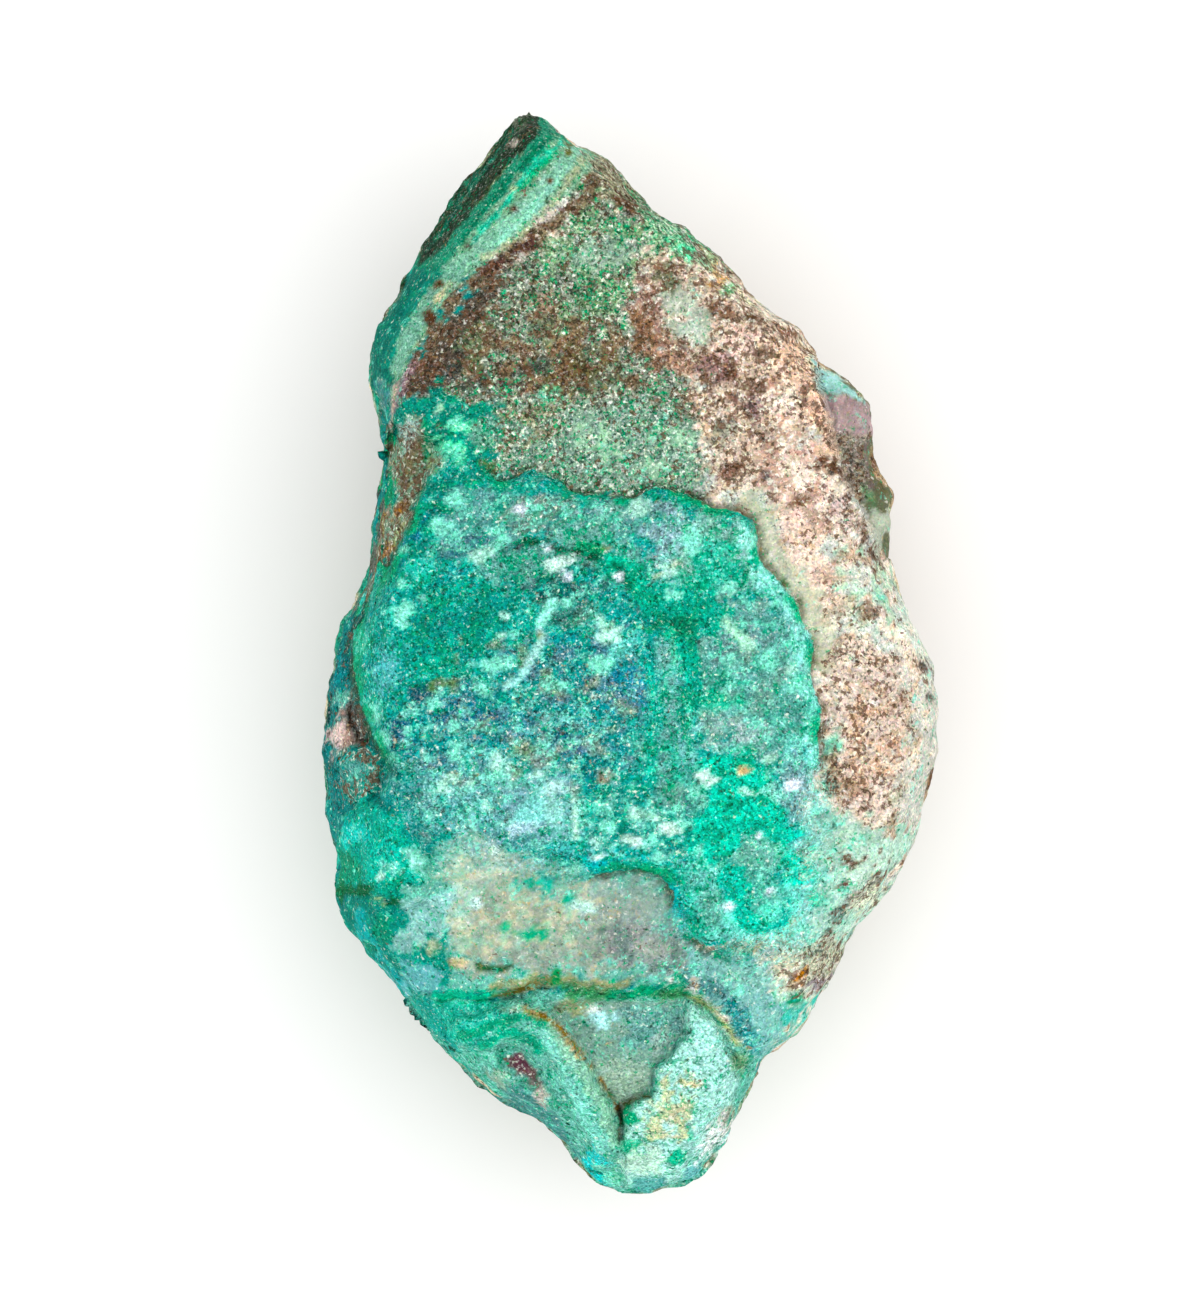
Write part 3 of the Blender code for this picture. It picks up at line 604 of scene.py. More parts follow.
    spot(8, 3.7, 0.6, 0.5, 0, (74, 110, 74)),
    spot(12.3, 3.3, 4.6, 2.6, -55, (176, 214, 190), "film", 0.8, 1, 0.9, patchy=(1.1, 0.6)),
    patch(((13.6, 4.2), (14.4, 3.3), (15.8, 0.7), (16.5, -2.4), (15.5, -2.4), (14.6, 0.2), (13.9, 2.1)),
        (222, 228, 216), "film", 0.85, 0.5, 0.5),
    spot(12.2, 2.2, 1.4, 0.7, -50, (146, 120, 104), "clot", 0.8, 0.4, 0.6),
    spot(10.8, 2.5, 1.8, 1.2, 40, (184, 166, 142), "dotted", 0.6, wander=0.6),
    patch(((10.1, 0.2), (12.4, 0.7), (14.5, -0.3), (14.6, -4.5), (14, -7.6), (12.4, -9.1), (10.6, -8.1),
        (10, -3.9)), (218, 202, 190), "tan", 0.9, 1, 0.8),
    patch(((11.4, -1.9), (12.9, -1.9), (14.2, -4.5), (13.2, -7.6), (10.9, -7.6), (11.1, -4.5)),
        (202, 164, 138), "dotted", 0.7, 1, 0.9, patchy=(1.3, 0.6)),
    spot(10.4, -4.7, 1.6, 1, 80, (108, 212, 184), "film", 0.75, wander=0.5),
    spot(10, -4, 0.8, 0.7, 0, (84, 86, 78), "dotted", 1, 0.25, 0.4),
    spot(10.6, -6.3, 1.8, 1.5, -30, (184, 164, 142), "clot", 0.9, 0.6, 0.8),
    spot(11.2, -7.1, 1.2, 0.9, 0, (168, 138, 116), "clot", 0.7, 0.5, 0.6),
    spot(10.1, -0.5, 1.6, 0.8, 80, (176, 176, 150), "smooth", 0.8, wander=0.4),
    spot(9.9, -1.5, 0.9, 0.5, 80, (138, 108, 88), "clot", 0.8, 0.3, 0.4),
    spot(11.8, -0.3, 2.4, 1.2, 0, (230, 214, 198), "clot", 0.7, 0.6, 0.8),
    spot(13.9, -2.4, 1.4, 1, 0, (168, 144, 130), "clot", 0.6, 0.5, 0.7),
    spot(13.6, -7, 1.6, 1.1, 60, (174, 184, 156), "clot", 0.6, 0.5, 0.8),
    spot(12.2, -7.9, 2, 1, 60, (212, 196, 186), "clot", 0.7, 0.5, 0.8),
    spot(13.2, -8.9, 1.8, 1, 20, (166, 150, 126), "clot", 0.7, 0.5, 0.8),
    patch(((14.2, -1.4), (16.5, -1.9), (16.5, -6.5), (15, -10.7), (13.4, -10.1), (14.1, -8.1), (14.4, -5)),
        (210, 210, 200), "film", 0.85, 0.6, 0.7),
    spot(14.6, -3.9, 3, 1, -85, (222, 196, 172), "tan", 0.7, 0.4, 0.8, patchy=(0.8, 0.5)),
    spot(15.1, -0.6, 0.8, 0.4, -70, (96, 90, 88), "clot", 1, 0.2, 0.3),
    spot(15.5, -2.3, 0.6, 0.35, -80, (98, 92, 86), None, 1, 0.2, 0.2),
    spot(12.6, -2.6, 0.4, 0.3, 0, (246, 242, 234)),

    # rear ledge: teal, pinkish grey, brown and olive down its length
    patch(ledgeOutline, (102, 106, 86), "smooth", 1, 0.1, 0.05),
    patch(((9.4, 15.9), (12.4, 14.5), (12.3, 13.8), (11.4, 13.3), (9.7, 13.6)), (172, 214, 208), None, 1,
        0.2, 0.1),
    patch(((9.9, 13.4), (11.4, 13.4), (12.5, 13.9), (12.9, 12.6), (12.7, 11), (10.8, 11.2), (10.1, 12.6)),
        (172, 154, 154), None, 1, 0.3, 0.2),
    patch(((10.6, 11.4), (11.5, 11.5), (12.3, 10.9), (12.3, 9), (12.3, 7.9), (11.4, 8.4)), (150, 144, 134),
        "clot", 1, 0.3, 0.3),
    stripe(((12.5, 10.8), (12.6, 9.5), (12.3, 8.3)), 0.4, (120, 104, 104), None, 0.8),
    stripe(((12, 8.7), (12.6, 7.7), (13.1, 6.4)), 0.35, (110, 156, 118), None, 0.8, wander=0.3),
    stripe(((12.7, 9.1), (13.5, 7.9), (13.3, 6.5)), 0.5, (98, 94, 68), None, 0.8, wander=0.3),
    patch(((12.2, 7.9), (13.1, 7.3), (13.6, 7.3), (13.4, 5.6), (12.7, 4.8)), (192, 200, 184), None, 0.85,
        0.2, 0.3),

    # green tongue above the crust and the olive strip on its left
    patch(((-12.6, 12.5), (-11.8, 12.9), (-10.6, 13.3), (-9.8, 13.9), (-9, 13.3), (-6.8, 12.9),
        (-6.7, 11.8), (-7.1, 10.6), (-7.1, 9.3), (-8.2, 8.3), (-10.6, 7.9), (-12.1, 4.8), (-13.4, 2.8),
        (-13.9, 2.8), (-12.6, 7.9), (-12.9, 11)), (40, 134, 118), "lobes"),
    spot(-9, 10.8, 3.2, 2.4, 20, (132, 222, 182), "mint", wander=0.4, patchy=(0.7, 0.5)),
    spot(-7.5, 11.5, 1.4, 1.6, 0, (124, 166, 148), "greenish", 0.7),
    stripe(((-7.5, 9.9), (-6.7, 9.3), (-7.1, 9)), 0.5, (108, 104, 52), None, 0.7),
    spot(-9.8, 12.7, 0.5, 0.35, 60, (190, 236, 210), "clean"),
    spot(-9.8, 11.8, 0.5, 0.4, 0, (84, 66, 44)),
    patch(((-11.5, 12.4), (-10.8, 12.4), (-10.4, 11.3), (-9.7, 10.2), (-9.8, 9.6), (-10.5, 8.7),
        (-11.2, 7.4), (-11.9, 5.7), (-12.6, 4.3), (-13.4, 3), (-14.4, 2), (-14.3, 2.5), (-13.4, 4.1),
        (-13.2, 5.2), (-12.4, 7.1), (-12, 8.1), (-12.5, 9.3), (-12.4, 10.1), (-11.9, 11.7)),
        (116, 150, 130), "dotted", 1, 0.2, 0.2),
    spot(-11.4, 11.4, 1.6, 1.1, 80, (194, 226, 220), None, 0.8),
    patch(((-11.8, 11), (-10.7, 11.4), (-10.6, 9.5), (-11.6, 6.9), (-12.5, 4.8), (-13.3, 3.3), (-13.8, 2.8),
        (-12.4, 5.9), (-11.6, 9)), (122, 92, 60), "clot", 0.7, 0.5, 0.5, patchy=(0.9, 0.5)),
    stripe(((-10.6, 11.8), (-10.4, 11), (-10.6, 9.9)), 0.4, (20, 148, 106), "lobes", 0.8, wander=0.4),
    spot(-10.1, 9.9, 1, 0.9, 60, (164, 168, 120), None, 0.8),
    spot(-11.9, 7.4, 0.9, 0.4, 60, (186, 132, 84), None, 0.8),
    spot(-12.4, 5.3, 0.9, 0.4, 65, (190, 124, 70), None, 0.85),
    spot(-12.8, 4.6, 1, 0.4, 65, (184, 122, 72), None, 0.8),
    stripe(((-11.6, 6.8), (-12.2, 5.6)), 0.2, (186, 196, 140), None, 0.7),
    stripe(((-12.3, 11.1), (-12.4, 10.5), (-12.5, 9.9)), 0.45, (6, 182, 120), "clean"),
    spot(-12.4, 8.3, 1.6, 0.5, 75, (10, 142, 98), "clean"),
    stripe(((-12.1, 13.8), (-12.2, 13.1), (-12.3, 12), (-12.5, 11.1)), 0.16, (206, 184, 170), None, 1, 0.1,
        0.1),
    stripe(((-12.7, 13.7), (-12.6, 13.1), (-12.5, 12.3)), 0.5, (70, 132, 132), None, 0.8),
    # painted shadow: a near-black line along the outer edge
    stripe(((-12.8, 12), (-12.7, 10.5), (-12.7, 9), (-12.8, 7.9)), 0.3, (50, 4, 4), None, 0.9, 0.15),

    # left side facet: grey teal and beige above, brown hollow, pinkish rib, brown green lump
    patch(((-12.7, 8.2), (-12.4, 7.3), (-13.1, 5.6), (-13.6, 3.8), (-14.4, 2.5), (-15.2, 0.7), (-15.5, 0.7),
        (-14.4, 4.8), (-13.5, 7.9)), (104, 112, 102), "murky", 1, 0.2),
    spot(-12.9, 6.2, 2, 0.6, 70, (160, 148, 132), None, 0.8),
    spot(-12.9, 7.7, 1, 0.6, 70, (70, 92, 88), None, 0.8),
    patch(((-14, 2.2), (-14.3, 0.7), (-14.3, -1.2), (-13.8, -2.9), (-12.9, -5), (-12.3, -6.2), (-13, -7.6),
        (-15.5, -8.3), (-17, -7.6), (-17, -0.3), (-15.2, 1.7)), (30, 128, 126), "murky", 1, 0.2),
    # painted shadow: a dark line just outside the crust's left edge
    stripe(((-14.1, 0.9), (-14.3, -0.3), (-14.1, -2), (-13.6, -3.8), (-12.7, -5.6)), 0.3, (30, 84, 74),
        None, 1, 0.15, 0.15),
    stripe(((-14.5, 1.5), (-14.6, 0.2), (-14.5, -0.7)), 0.5, (56, 90, 90), None, 0.7, 0.3),
    stripe(((-15, -0.6), (-15.3, -1.9), (-15, -2.4)), 1, (10, 130, 136), None, 0.8, 0.4),
    spot(-14.8, -2.3, 1.3, 0.8, 20, (128, 186, 172), "mint", 0.8),
    patch(((-14.7, -2.7), (-14.1, -2.6), (-13.6, -3.8), (-13.6, -4.6), (-14.4, -4.8), (-15, -5),
        (-15.2, -3.9)), (160, 132, 122), "cream", 0.9, 0.4, 0.3),
    spot(-15.1, -4.3, 1.6, 0.6, 80, (222, 202, 196), soft=0.25),
    spot(-14.1, -3.5, 2.1, 0.8, 103, (98, 106, 104), "clot", 1, 0.3, 0.3),
    spot(-13.7, -4.6, 0.7, 0.4, 60, (60, 40, 38), soft=0.2),
    patch(((-14.8, -5), (-13.8, -4.8), (-13, -5.1), (-12.8, -6.3), (-13.1, -7.3), (-14.1, -7.9),
        (-14.9, -7.4)), (74, 154, 142), "dotted", 1, 0.4, 0.4),
    spot(-14.1, -6, 1.4, 1, 30, (94, 152, 144), "mint", 0.85, wander=0.4),
    # painted shadow: the same dark line along the crust's edge further down
    stripe(((-12.9, -4.8), (-12.6, -5.4), (-12.2, -6.1)), 0.25, (30, 88, 98), None, 1, 0.15, 0.15),
    spot(-15.7, -7.3, 1.8, 0.5, 95, (70, 158, 148), None, 0.8, 0.2),
    # painted shadow: a black line down the facet's outer edge
    stripe(((-15.8, -1.9), (-15.9, -3.9), (-15.8, -5.8)), 0.5, (4, 4, 4), None, 0.8, 0.3),
    spot(-15, -9.9, 1.4, 0.6, 70, (108, 130, 116), None, 0.8),

    # raised green knob
    patch(((-14.5, -8.2), (-13.4, -7.3), (-12.6, -8.1), (-11.5, -9.1), (-10.6, -10.4), (-10.1, -11.8),
        (-10.6, -12.8), (-11.9, -13.2), (-12.9, -12.6), (-13.8, -12.6), (-15.1, -12.1), (-15.6, -10.8),
        (-15, -9.4)), (4, 172, 150), "lobes"),
    spot(-12.6, -9.6, 2.6, 1.6, 60, (84, 196, 176), "deep", 0.8, wander=0.6),
    spot(-14.1, -9.1, 1.6, 1.1, 50, (100, 208, 198), "mint", 0.8, wander=0.4),
    spot(-14.7, -11.3, 1.6, 1.3, 70, (4, 144, 102), None, 0.8, wander=0.4),
    patch(((-13.3, -11.9), (-11.8, -11.3), (-10.6, -11.7), (-10.3, -12.2), (-10.8, -12.8), (-11.9, -13),
        (-13.1, -12.5)), (4, 156, 134), "deep", 1, 0.2, 0.3),
    spot(-12.4, -11.1, 1.4, 0.7, -10, (128, 206, 188), "mint", 0.8, wander=0.3),
    spot(-11, -10.8, 1.9, 0.95, -62, (172, 236, 222), "clean", 1, 0.15, 0.15),
    spot(-12.9, -11.5, 0.55, 0.5, 50, (196, 244, 228), "clean"),
    stripe(((-15.1, -11.9), (-14.4, -12.2), (-13.6, -12.3)), 0.7, (4, 106, 64), "clean", wander=0.2),
    stripe(((-12.3, -12.8), (-11.5, -13), (-10.8, -12.7)), 0.5, (4, 92, 54), "clean", wander=0.15),
    spot(-13, -13, 0.8, 0.9, 0, (170, 196, 146), "clean", wander=0.2),

    # lower part, below and beside the crust
    patch(((-10.3, -9.6), (-7.7, -10.1), (-4.6, -10.8), (-2, -10.8), (-0.9, -10.4), (0.6, -10.3),
        (2.2, -10.8), (3, -11.9), (3.4, -14), (3.9, -15.8), (3.1, -17.5), (-1, -17.6), (-3.6, -17.4),
        (-4.6, -17.4), (-6.7, -17.9), (-10, -17.8), (-11.6, -15.8), (-11.8, -13)), (116, 176, 162), "film",
        1, 0.8, 0.8),
    patch(((-8.2, -10.4), (-5.7, -10.8), (-1.5, -12), (1.1, -13), (0.5, -15.3), (-1.5, -16.7),
        (-5.7, -16.7), (-8.2, -16.3), (-9.7, -14.5), (-9.5, -11.9)), (152, 164, 152), "smooth", 0.9, 1.2,
        1),
    patch(((-9.8, -11.2), (-9.3, -9.5), (-8.3, -8.1), (-7.5, -9), (-6.7, -9.9), (-5.1, -10.8),
        (-6.7, -12.2)), (188, 206, 192), "smooth", 0.85, 0.6, 0.5),
    patch(((-9.5, -14.3), (-9.8, -13), (-9.2, -11.3), (-7.7, -11.1), (-7.7, -13.8), (-8.2, -15.6),
        (-9.2, -15.3)), (180, 200, 186), "smooth", 0.85, 0.6, 0.5),
    spot(-6.4, -13, 4.6, 3, 10, (154, 164, 148), None, 0.75, 1.2, 1),
    spot(-8.2, -14.8, 3, 1.6, 30, (152, 176, 160), None, 0.7, 0.8, 0.8),
    spot(-4.7, -14.4, 1.4, 0.6, 30, (112, 184, 146), None, 0.7, wander=0.5),
    patch(((-3.6, -11.7), (-1.3, -11.3), (1.1, -11.7), (2, -12.3), (2.4, -14), (0.5, -14.3), (-2, -14)),
        (140, 160, 152), "smooth", 0.85, 0.8, 0.7),
    patch(((-1.5, -14), (2.6, -14), (3.8, -15.8), (3.1, -17.1), (0.5, -16.6), (-1.5, -15.6)),
        (134, 134, 134), "film", 0.75, 0.9, 0.8),
    patch(((-12.1, -13.3), (-10.2, -13), (-9.3, -14.3), (-9.3, -17.1), (-10.1, -18.1), (-11.8, -18.9),
        (-13.4, -16.8), (-14.7, -14.5), (-15.2, -12.7), (-13.4, -12.6)), (28, 134, 118), "film"),
    patch(((-11.8, -13.1), (-10, -12.3), (-9, -11.7), (-8.8, -13.2), (-10, -14.8), (-11.2, -14.3)),
        (156, 202, 198), "film", 0.9, 0.5, 0.5),
    spot(-11.1, -14.8, 2.2, 1.3, 10, (142, 186, 180), "film", 0.85, 0.4, 0.5),
    spot(-10.3, -15.3, 0.8, 1.2, -20, (176, 188, 156), None, 0.8, 0.3, 0.4),
    spot(-12.9, -14.4, 1.6, 1, 60, (16, 142, 110), "deep", 0.85, 0.3, 0.4),
    patch(((-11.7, -15.7), (-9.8, -15.9), (-9.5, -17.4), (-10.6, -17.9), (-11.9, -17.1)), (124, 182, 186),
        "film", 0.85, 0.4, 0.5),
    spot(-10.3, -15.9, 1.8, 0.7, -10, (30, 150, 128), "deep", 0.8, 0.3, 0.5),
    stripe(((-13.9, -13.5), (-13.5, -14.6), (-12.7, -15.8), (-11.7, -17.4), (-10.5, -18.7)), 0.45,
        (72, 172, 172), None, 0.8, wander=0.3),
    patch(((-9.2, -10), (-5.7, -10.4), (-1.5, -11.8), (-1.5, -15.6), (-8.2, -15.9), (-9.6, -14.3)),
        (198, 194, 166), "smooth", 0.55, 0.8, patchy=(0.9, 0.4)),
    patch(((-9.2, -10), (-5.7, -10.4), (-1.5, -11.8), (-1.5, -15.6), (-8.2, -15.9), (-9.6, -14.3)),
        (150, 208, 186), "smooth", 0.5, 0.8, patchy=(0.7, 0.25)),
    patch(((-3.6, -14), (0.5, -14), (3.2, -15.3), (3.1, -16.7), (-1, -16.2)), (98, 124, 118), "film", 0.7,
        0.6, patchy=(0.9, 0.4)),
    spot(1.3, -15.2, 1.8, 0.8, -15, (166, 170, 162), "smooth", 0.5, 0.2),
    spot(-4.8, -12, 2.2, 0.8, -10, (56, 188, 162), None, 0.8, 0.2, 0.5),
    spot(-3.2, -12.7, 0.6, 0.5, 0, (24, 164, 128), None, 0.85),
    spot(-5.3, -14.5, 1.1, 0.45, 0, (24, 164, 124), None, 0.85),
    spot(-4.4, -14.6, 0.6, 0.45, 40, (24, 160, 122), None, 0.85),
    spot(-6.4, -14.1, 0.6, 0.5, 40, (40, 170, 130), None, 0.8),
    spot(-2.4, -13.1, 1.1, 0.6, -10, (192, 230, 220), "clean", 1, 0.2),
    spot(-8, -12.9, 0.6, 0.5, 0, (204, 236, 230), "clean"),
    stripe(((-6.1, -17.4), (-4.6, -17), (-3.3, -16.8), (-2, -17.2), (-0.2, -17.1)), 0.5, (158, 148, 96),
        None, 0.7, wander=0.3),
    stripe(((-7.8, -16.1), (-7.2, -16.3), (-6.5, -16.3), (-6.1, -16.1)), 0.26, (48, 96, 62), None, 1, 0.14,
        0.15),
    spot(-8.8, -15.9, 0.9, 0.6, 0, (206, 186, 146), None, 0.75, 0.2),

    # right of the crust's foot: mint with brown streaks, pinkish brown lump, teal facet
    patch(((9.4, -8.2), (10.6, -8), (11.9, -8.7), (13.2, -9.5), (14.7, -8.6), (14.6, -10.1), (12.9, -13.2),
        (10.9, -15.8), (8.8, -19.4), (7.2, -21.1), (6.5, -20.5), (6.7, -17.1), (8.3, -15.3), (9.1, -12.7)),
        (190, 222, 206), "film", 1, 0.7, 0.6),
    spot(11.1, -9.5, 4.2, 1.8, 10, (172, 200, 184), "film", 0.8, 0.8, 0.6),
    spot(12.3, -11.2, 2.4, 1.4, 40, (200, 222, 206), "film", 0.7, 0.6, 0.6),
    stripe(((9.9, -10.8), (10.9, -10.8), (11.9, -10.7), (12.8, -10.6)), 0.6, (112, 84, 66), "clot", 0.9,
        0.4, 0.6, patchy=(0.5, 0.55)),
    spot(10.9, -12.1, 0.9, 0.6, 0, (96, 74, 66), wander=0.3),
    stripe(((13.2, -11.3), (12.5, -12.2), (11.5, -12.7), (10.7, -13.4), (10.2, -14.4), (9.6, -15.2)), 0.6,
        (112, 100, 90), "clot", 0.85, 0.4, 0.5, patchy=(0.8, 0.7)),
    spot(12.2, -12.6, 1.6, 0.9, 35, (232, 238, 214), "clot", 0.8, wander=0.5),
    patch(((7.4, -15.4), (8.8, -15), (10.7, -14.6), (11, -15.3), (10.1, -17.1), (9.1, -17.9), (8.1, -17.5),
        (7.2, -16.6)), (218, 218, 198), "dotted", 0.85, 0.6, 0.6),
    patch(((8.9, -15.1), (10.8, -14.7), (10.6, -16.1), (9.4, -17.4), (8.7, -17.4), (8.8, -16.1)),
        (196, 198, 176), "clot", 0.85, 0.5, 0.6),
    spot(8, -16.1, 1.5, 1, 0, (224, 206, 180), "cream", 0.8, wander=0.5),
    spot(8.8, -16.7, 0.9, 0.5, 60, (190, 128, 70), soft=0.3),
    spot(8.5, -17.9, 1.1, 0.8, 30, (10, 126, 88), wander=0.3),
    spot(9.7, -17.2, 1.2, 0.9, 20, (146, 134, 142), None, 0.85),
    patch(((3.1, -15), (4.7, -15.3), (7, -16.1), (7.5, -17.9), (8.8, -18.4), (7.2, -21.1), (6.1, -22.3),
        (5.6, -20.5), (4.8, -18.9), (3.6, -17.9), (2.8, -16.6)), (140, 190, 184), "film", 1, 0.6, 0.5),
    patch(((4.3, -18), (5.2, -17.9), (6.3, -18.7), (7, -19.9), (6.3, -20.9), (5.7, -20.3), (5.1, -19.2)),
        (52, 138, 140), "slaty", 0.85, 0.6, 0.5),
    spot(3.9, -17.1, 3, 1.3, -25, (38, 102, 104), "slaty", 0.7, 0.6, 0.5),
    spot(6.1, -16.6, 2.4, 1.3, 0, (158, 198, 188), "mint", 0.8, 0.6, 0.5),
    spot(8.5, -18.7, 1.8, 0.9, 50, (82, 188, 172), "film", 0.8, 0.4),

    # folded blunt end: lobes and recess, a painted shadow along the recess's right wall, then the crease,
    # edges and stains
    patch(((-10.9, -17.5), (-9.3, -17.7), (-6.7, -17.9), (-4.6, -17.4), (-1, -17.7), (3.1, -17.3),
        (3.9, -18), (6, -20.5), (7.5, -21.7), (5.2, -29.2), (-3.1, -29.2), (-13.4, -17.9)), (126, 192, 176),
        "lobes", 1, 0.2, 0.15),
    patch(((-10.6, -17.9), (-6.7, -18), (-5.7, -18.4), (-6.7, -19.4), (-8.2, -20.5), (-9.8, -19.9)),
        (94, 188, 170), "lobes", 1, 0.4, 0.3),
    patch(((-11.1, -17.6), (-10.2, -18), (-9.2, -19.9), (-8.2, -21.7), (-9.8, -21), (-11.8, -18.4)),
        (12, 142, 130), "film", 0.7, 0.3, 0.3),
    patch(((-7.2, -21.7), (-5.7, -22.3), (-3.6, -24.1), (-2.6, -26.1), (-3.6, -26.4), (-6.7, -23.6)),
        (74, 122, 122), "film", 0.85, 0.4, 0.3),
    stripe(((-4.6, -21.1), (-4, -22.4), (-3.4, -23.8), (-2.7, -25.3), (-2, -26.4)), 0.35, (130, 194, 180),
        None, 0.85, wander=0.3),
    stripe(((-4.4, -19.7), (-3.7, -20.8), (-3.1, -22.3), (-2.3, -24), (-1.5, -25.6)), 0.7, (148, 216, 202),
        "mint", 0.8, 0.3, 0.3),
    stripe(((-8.7, -19.8), (-7.7, -19.5), (-7, -19.2), (-6.1, -18.8), (-5.1, -18.8), (-4.4, -19.1),
        (-3.8, -19.7)), 0.55, (68, 162, 130), "clean", 1, 0.2, 0.3),
    stripe(((-7.6, -20.3), (-7, -19.9), (-6.3, -19.7), (-5.5, -19.7), (-4.9, -20), (-4.6, -20.6)), 0.4,
        (4, 170, 132), None, 0.9, wander=0.25),
    stripe(((-3.9, -19.3), (-3.3, -20.4), (-2.3, -21.9), (-1.4, -23.3), (-0.9, -24.5), (-0.6, -25.2)), 0.75,
        (160, 208, 184), "clean", 0.85, 0.4, 0.15),
    patch(((-4.2, -17.9), (2.8, -17.9), (2.8, -19.6), (2.1, -20.8), (1.3, -21.5), (1.1, -22.8), (0.3, -23),
        (-0.4, -23.7), (-1.1, -22.7), (-1.9, -21.4), (-2.9, -20.1), (-3.8, -19.1)), (134, 168, 156), "film",
        1, 0.15, 0.15),
    patch(((-0.5, -18.4), (2.7, -18.2), (2.7, -19.5), (1.8, -20.6), (0, -20.2)), (116, 172, 168), "slaty",
        0.7, 0.5, 0.4),
    patch(((-1.5, -21), (1.1, -21.4), (1, -22.7), (-0.5, -23.5), (-1.3, -22.3)), (190, 216, 198), "clean",
        0.7, 0.4, 0.3),
    spot(1.6, -20, 1.6, 0.9, 50, (176, 198, 190), None, 0.7, 0.3),
    spot(-2.8, -18.3, 1.8, 0.8, -15, (150, 152, 112), None, 0.75, 0.4, 0.3),
    spot(-1.5, -18.8, 1.7, 0.9, 12, (188, 240, 240), "clean", 1, 0.25, 0.5),
    spot(-1.8, -18.4, 0.8, 0.4, 12, (226, 240, 234), "clean"),
    # painted shadow: a dark line along the recess's right wall, under the right lobe's step
    stripe(((2.8, -18.2), (2.8, -19.6), (2.1, -20.8), (1.3, -21.4), (1.1, -22.7)), 0.17, (26, 84, 84), None,
        0.85, 0.12, 0.12),
    stripe(((-6.7, -18.5), (-6.1, -18.4), (-5.3, -18.3), (-4.5, -18.7)), 0.3, (168, 132, 76), None, 0.75,
        wander=0.25),
    stripe(((-4.5, -18.7), (-3.7, -19.3), (-3, -20.1), (-1.9, -21.5), (-1.1, -22.7), (-0.6, -23.5)), 0.2,
        (144, 104, 26), None, 0.9, 0.12, 0.08),
    stripe(((-3.4, -19.9), (-2.6, -21)), 0.16, (206, 140, 78), None, 0.7, 0.1, 0.1),
    stripe(((-0.6, -23.3), (-0.5, -23.8), (-0.4, -24.4), (-0.4, -25.1)), 0.26, (66, 48, 26), None, 1, 0.12,
        0.1),
    spot(-0.5, -24.7, 0.3, 0.6, 0, (140, 88, 40), None, 0.7, 0.1, 0.1),
    stripe(((-0.3, -23.3), (0.3, -23), (1, -22.9)), 0.26, (74, 74, 34), None, 1, 0.12, 0.1),
    patch(((3.1, -18), (4.6, -19.4), (5.6, -22), (4.8, -25.6), (3.1, -27.3), (-0.2, -27.5), (-0.6, -25.6),
        (-0.2, -23.8), (0.3, -23.2), (1.2, -23), (1.4, -21.6), (2.2, -20.9), (2.9, -19.7), (3, -18.4)),
        (178, 228, 218), "lobes", 1, 0.15, 0.15),
    patch(((3.1, -18.2), (3.9, -18.5), (5, -19.6), (5.4, -20.5), (4.3, -20.5), (3.3, -19.4)),
        (172, 226, 214), "mint", 0.85, 0.3, 0.3),
    patch(((1.7, -21.6), (3.1, -21.9), (3.3, -24.1), (2.7, -25.1), (1.1, -25.2), (0.3, -24.7), (1.3, -23)),
        (206, 212, 168), None, 0.8, 0.6, 0.5, patchy=(1, 0.7)),
    spot(2.2, -24.1, 1.6, 1, 60, (204, 196, 164), None, 0.6, 0.5, 0.5),
    spot(3.1, -22.2, 1, 0.5, 0, (214, 188, 140), None, 0.6, 0.3),
    spot(0.1, -24, 0.8, 0.9, 40, (20, 168, 120), wander=0.3),
    spot(-0.1, -25.4, 1, 0.8, 40, (30, 172, 126), None, 0.8, wander=0.3),
    spot(0.8, -26.3, 2.4, 1.1, 10, (204, 242, 222), "clean", 0.85, wander=0.4),
    spot(2.4, -26.1, 1.2, 0.8, 30, (26, 172, 130), None, 0.85, wander=0.4),
    patch(((2.8, -26.5), (3.8, -26.2), (4.3, -26.8), (3.6, -27.5), (2.8, -27.7)), (106, 174, 176), "clean",
        0.85, 0.2, 0.2),
    patch(((0.1, -27.1), (1.8, -27.1), (1.7, -28.2), (0.2, -28.2)), (114, 182, 176), "clean", 1, 0.15, 0.1),
    spot(-1.7, -26.6, 2, 1.2, -50, (48, 216, 218), "slaty", 0.8, wander=0.5),
    spot(-0.9, -27, 1.4, 0.8, -30, (150, 222, 196), None, 0.8, wander=0.4),
    spot(5.7, -21.1, 1.3, 0.8, 80, (124, 156, 116), None, 0.8),
    spot(4.9, -24.1, 1.4, 0.9, 60, (150, 150, 128), None, 0.8),
    spot(4.3, -25.1, 2.4, 0.9, 60, (250, 250, 250), None, 0.7),
    stripe(((2.9, -17.6), (3.7, -18), (4.4, -18.5), (5, -19.4), (5.6, -20.3)), 0.22, (202, 204, 140), None,
        0.85, 0.12, 0.15),
    stripe(((-7, -17.2), (-5.9, -17), (-4.8, -16.7)), 0.5, (162, 162, 112), None, 0.7, wander=0.3),
    stripe(((-10, -17.7), (-9.1, -17.6), (-8.2, -17.7), (-7, -17.7)), 0.42, (40, 200, 160), "clean",
        wander=0.25),
    stripe(((-7, -17.7), (-6.2, -17.5), (-5.5, -17.3), (-4.6, -17.1), (-4.2, -17.1)), 0.28, (96, 88, 42),
        None, 0.9, wander=0.15),
    spot(-3.8, -16.6, 0.9, 0.5, 80, (40, 150, 88), wander=0.2),
    stripe(((-3.3, -17.3), (-2.6, -17.5), (-1.3, -17.7), (-0.2, -17.6), (0.8, -17.5), (1.7, -17.5),
        (2.8, -17.5)), 0.5, (84, 150, 108), "clean", wander=0.35),
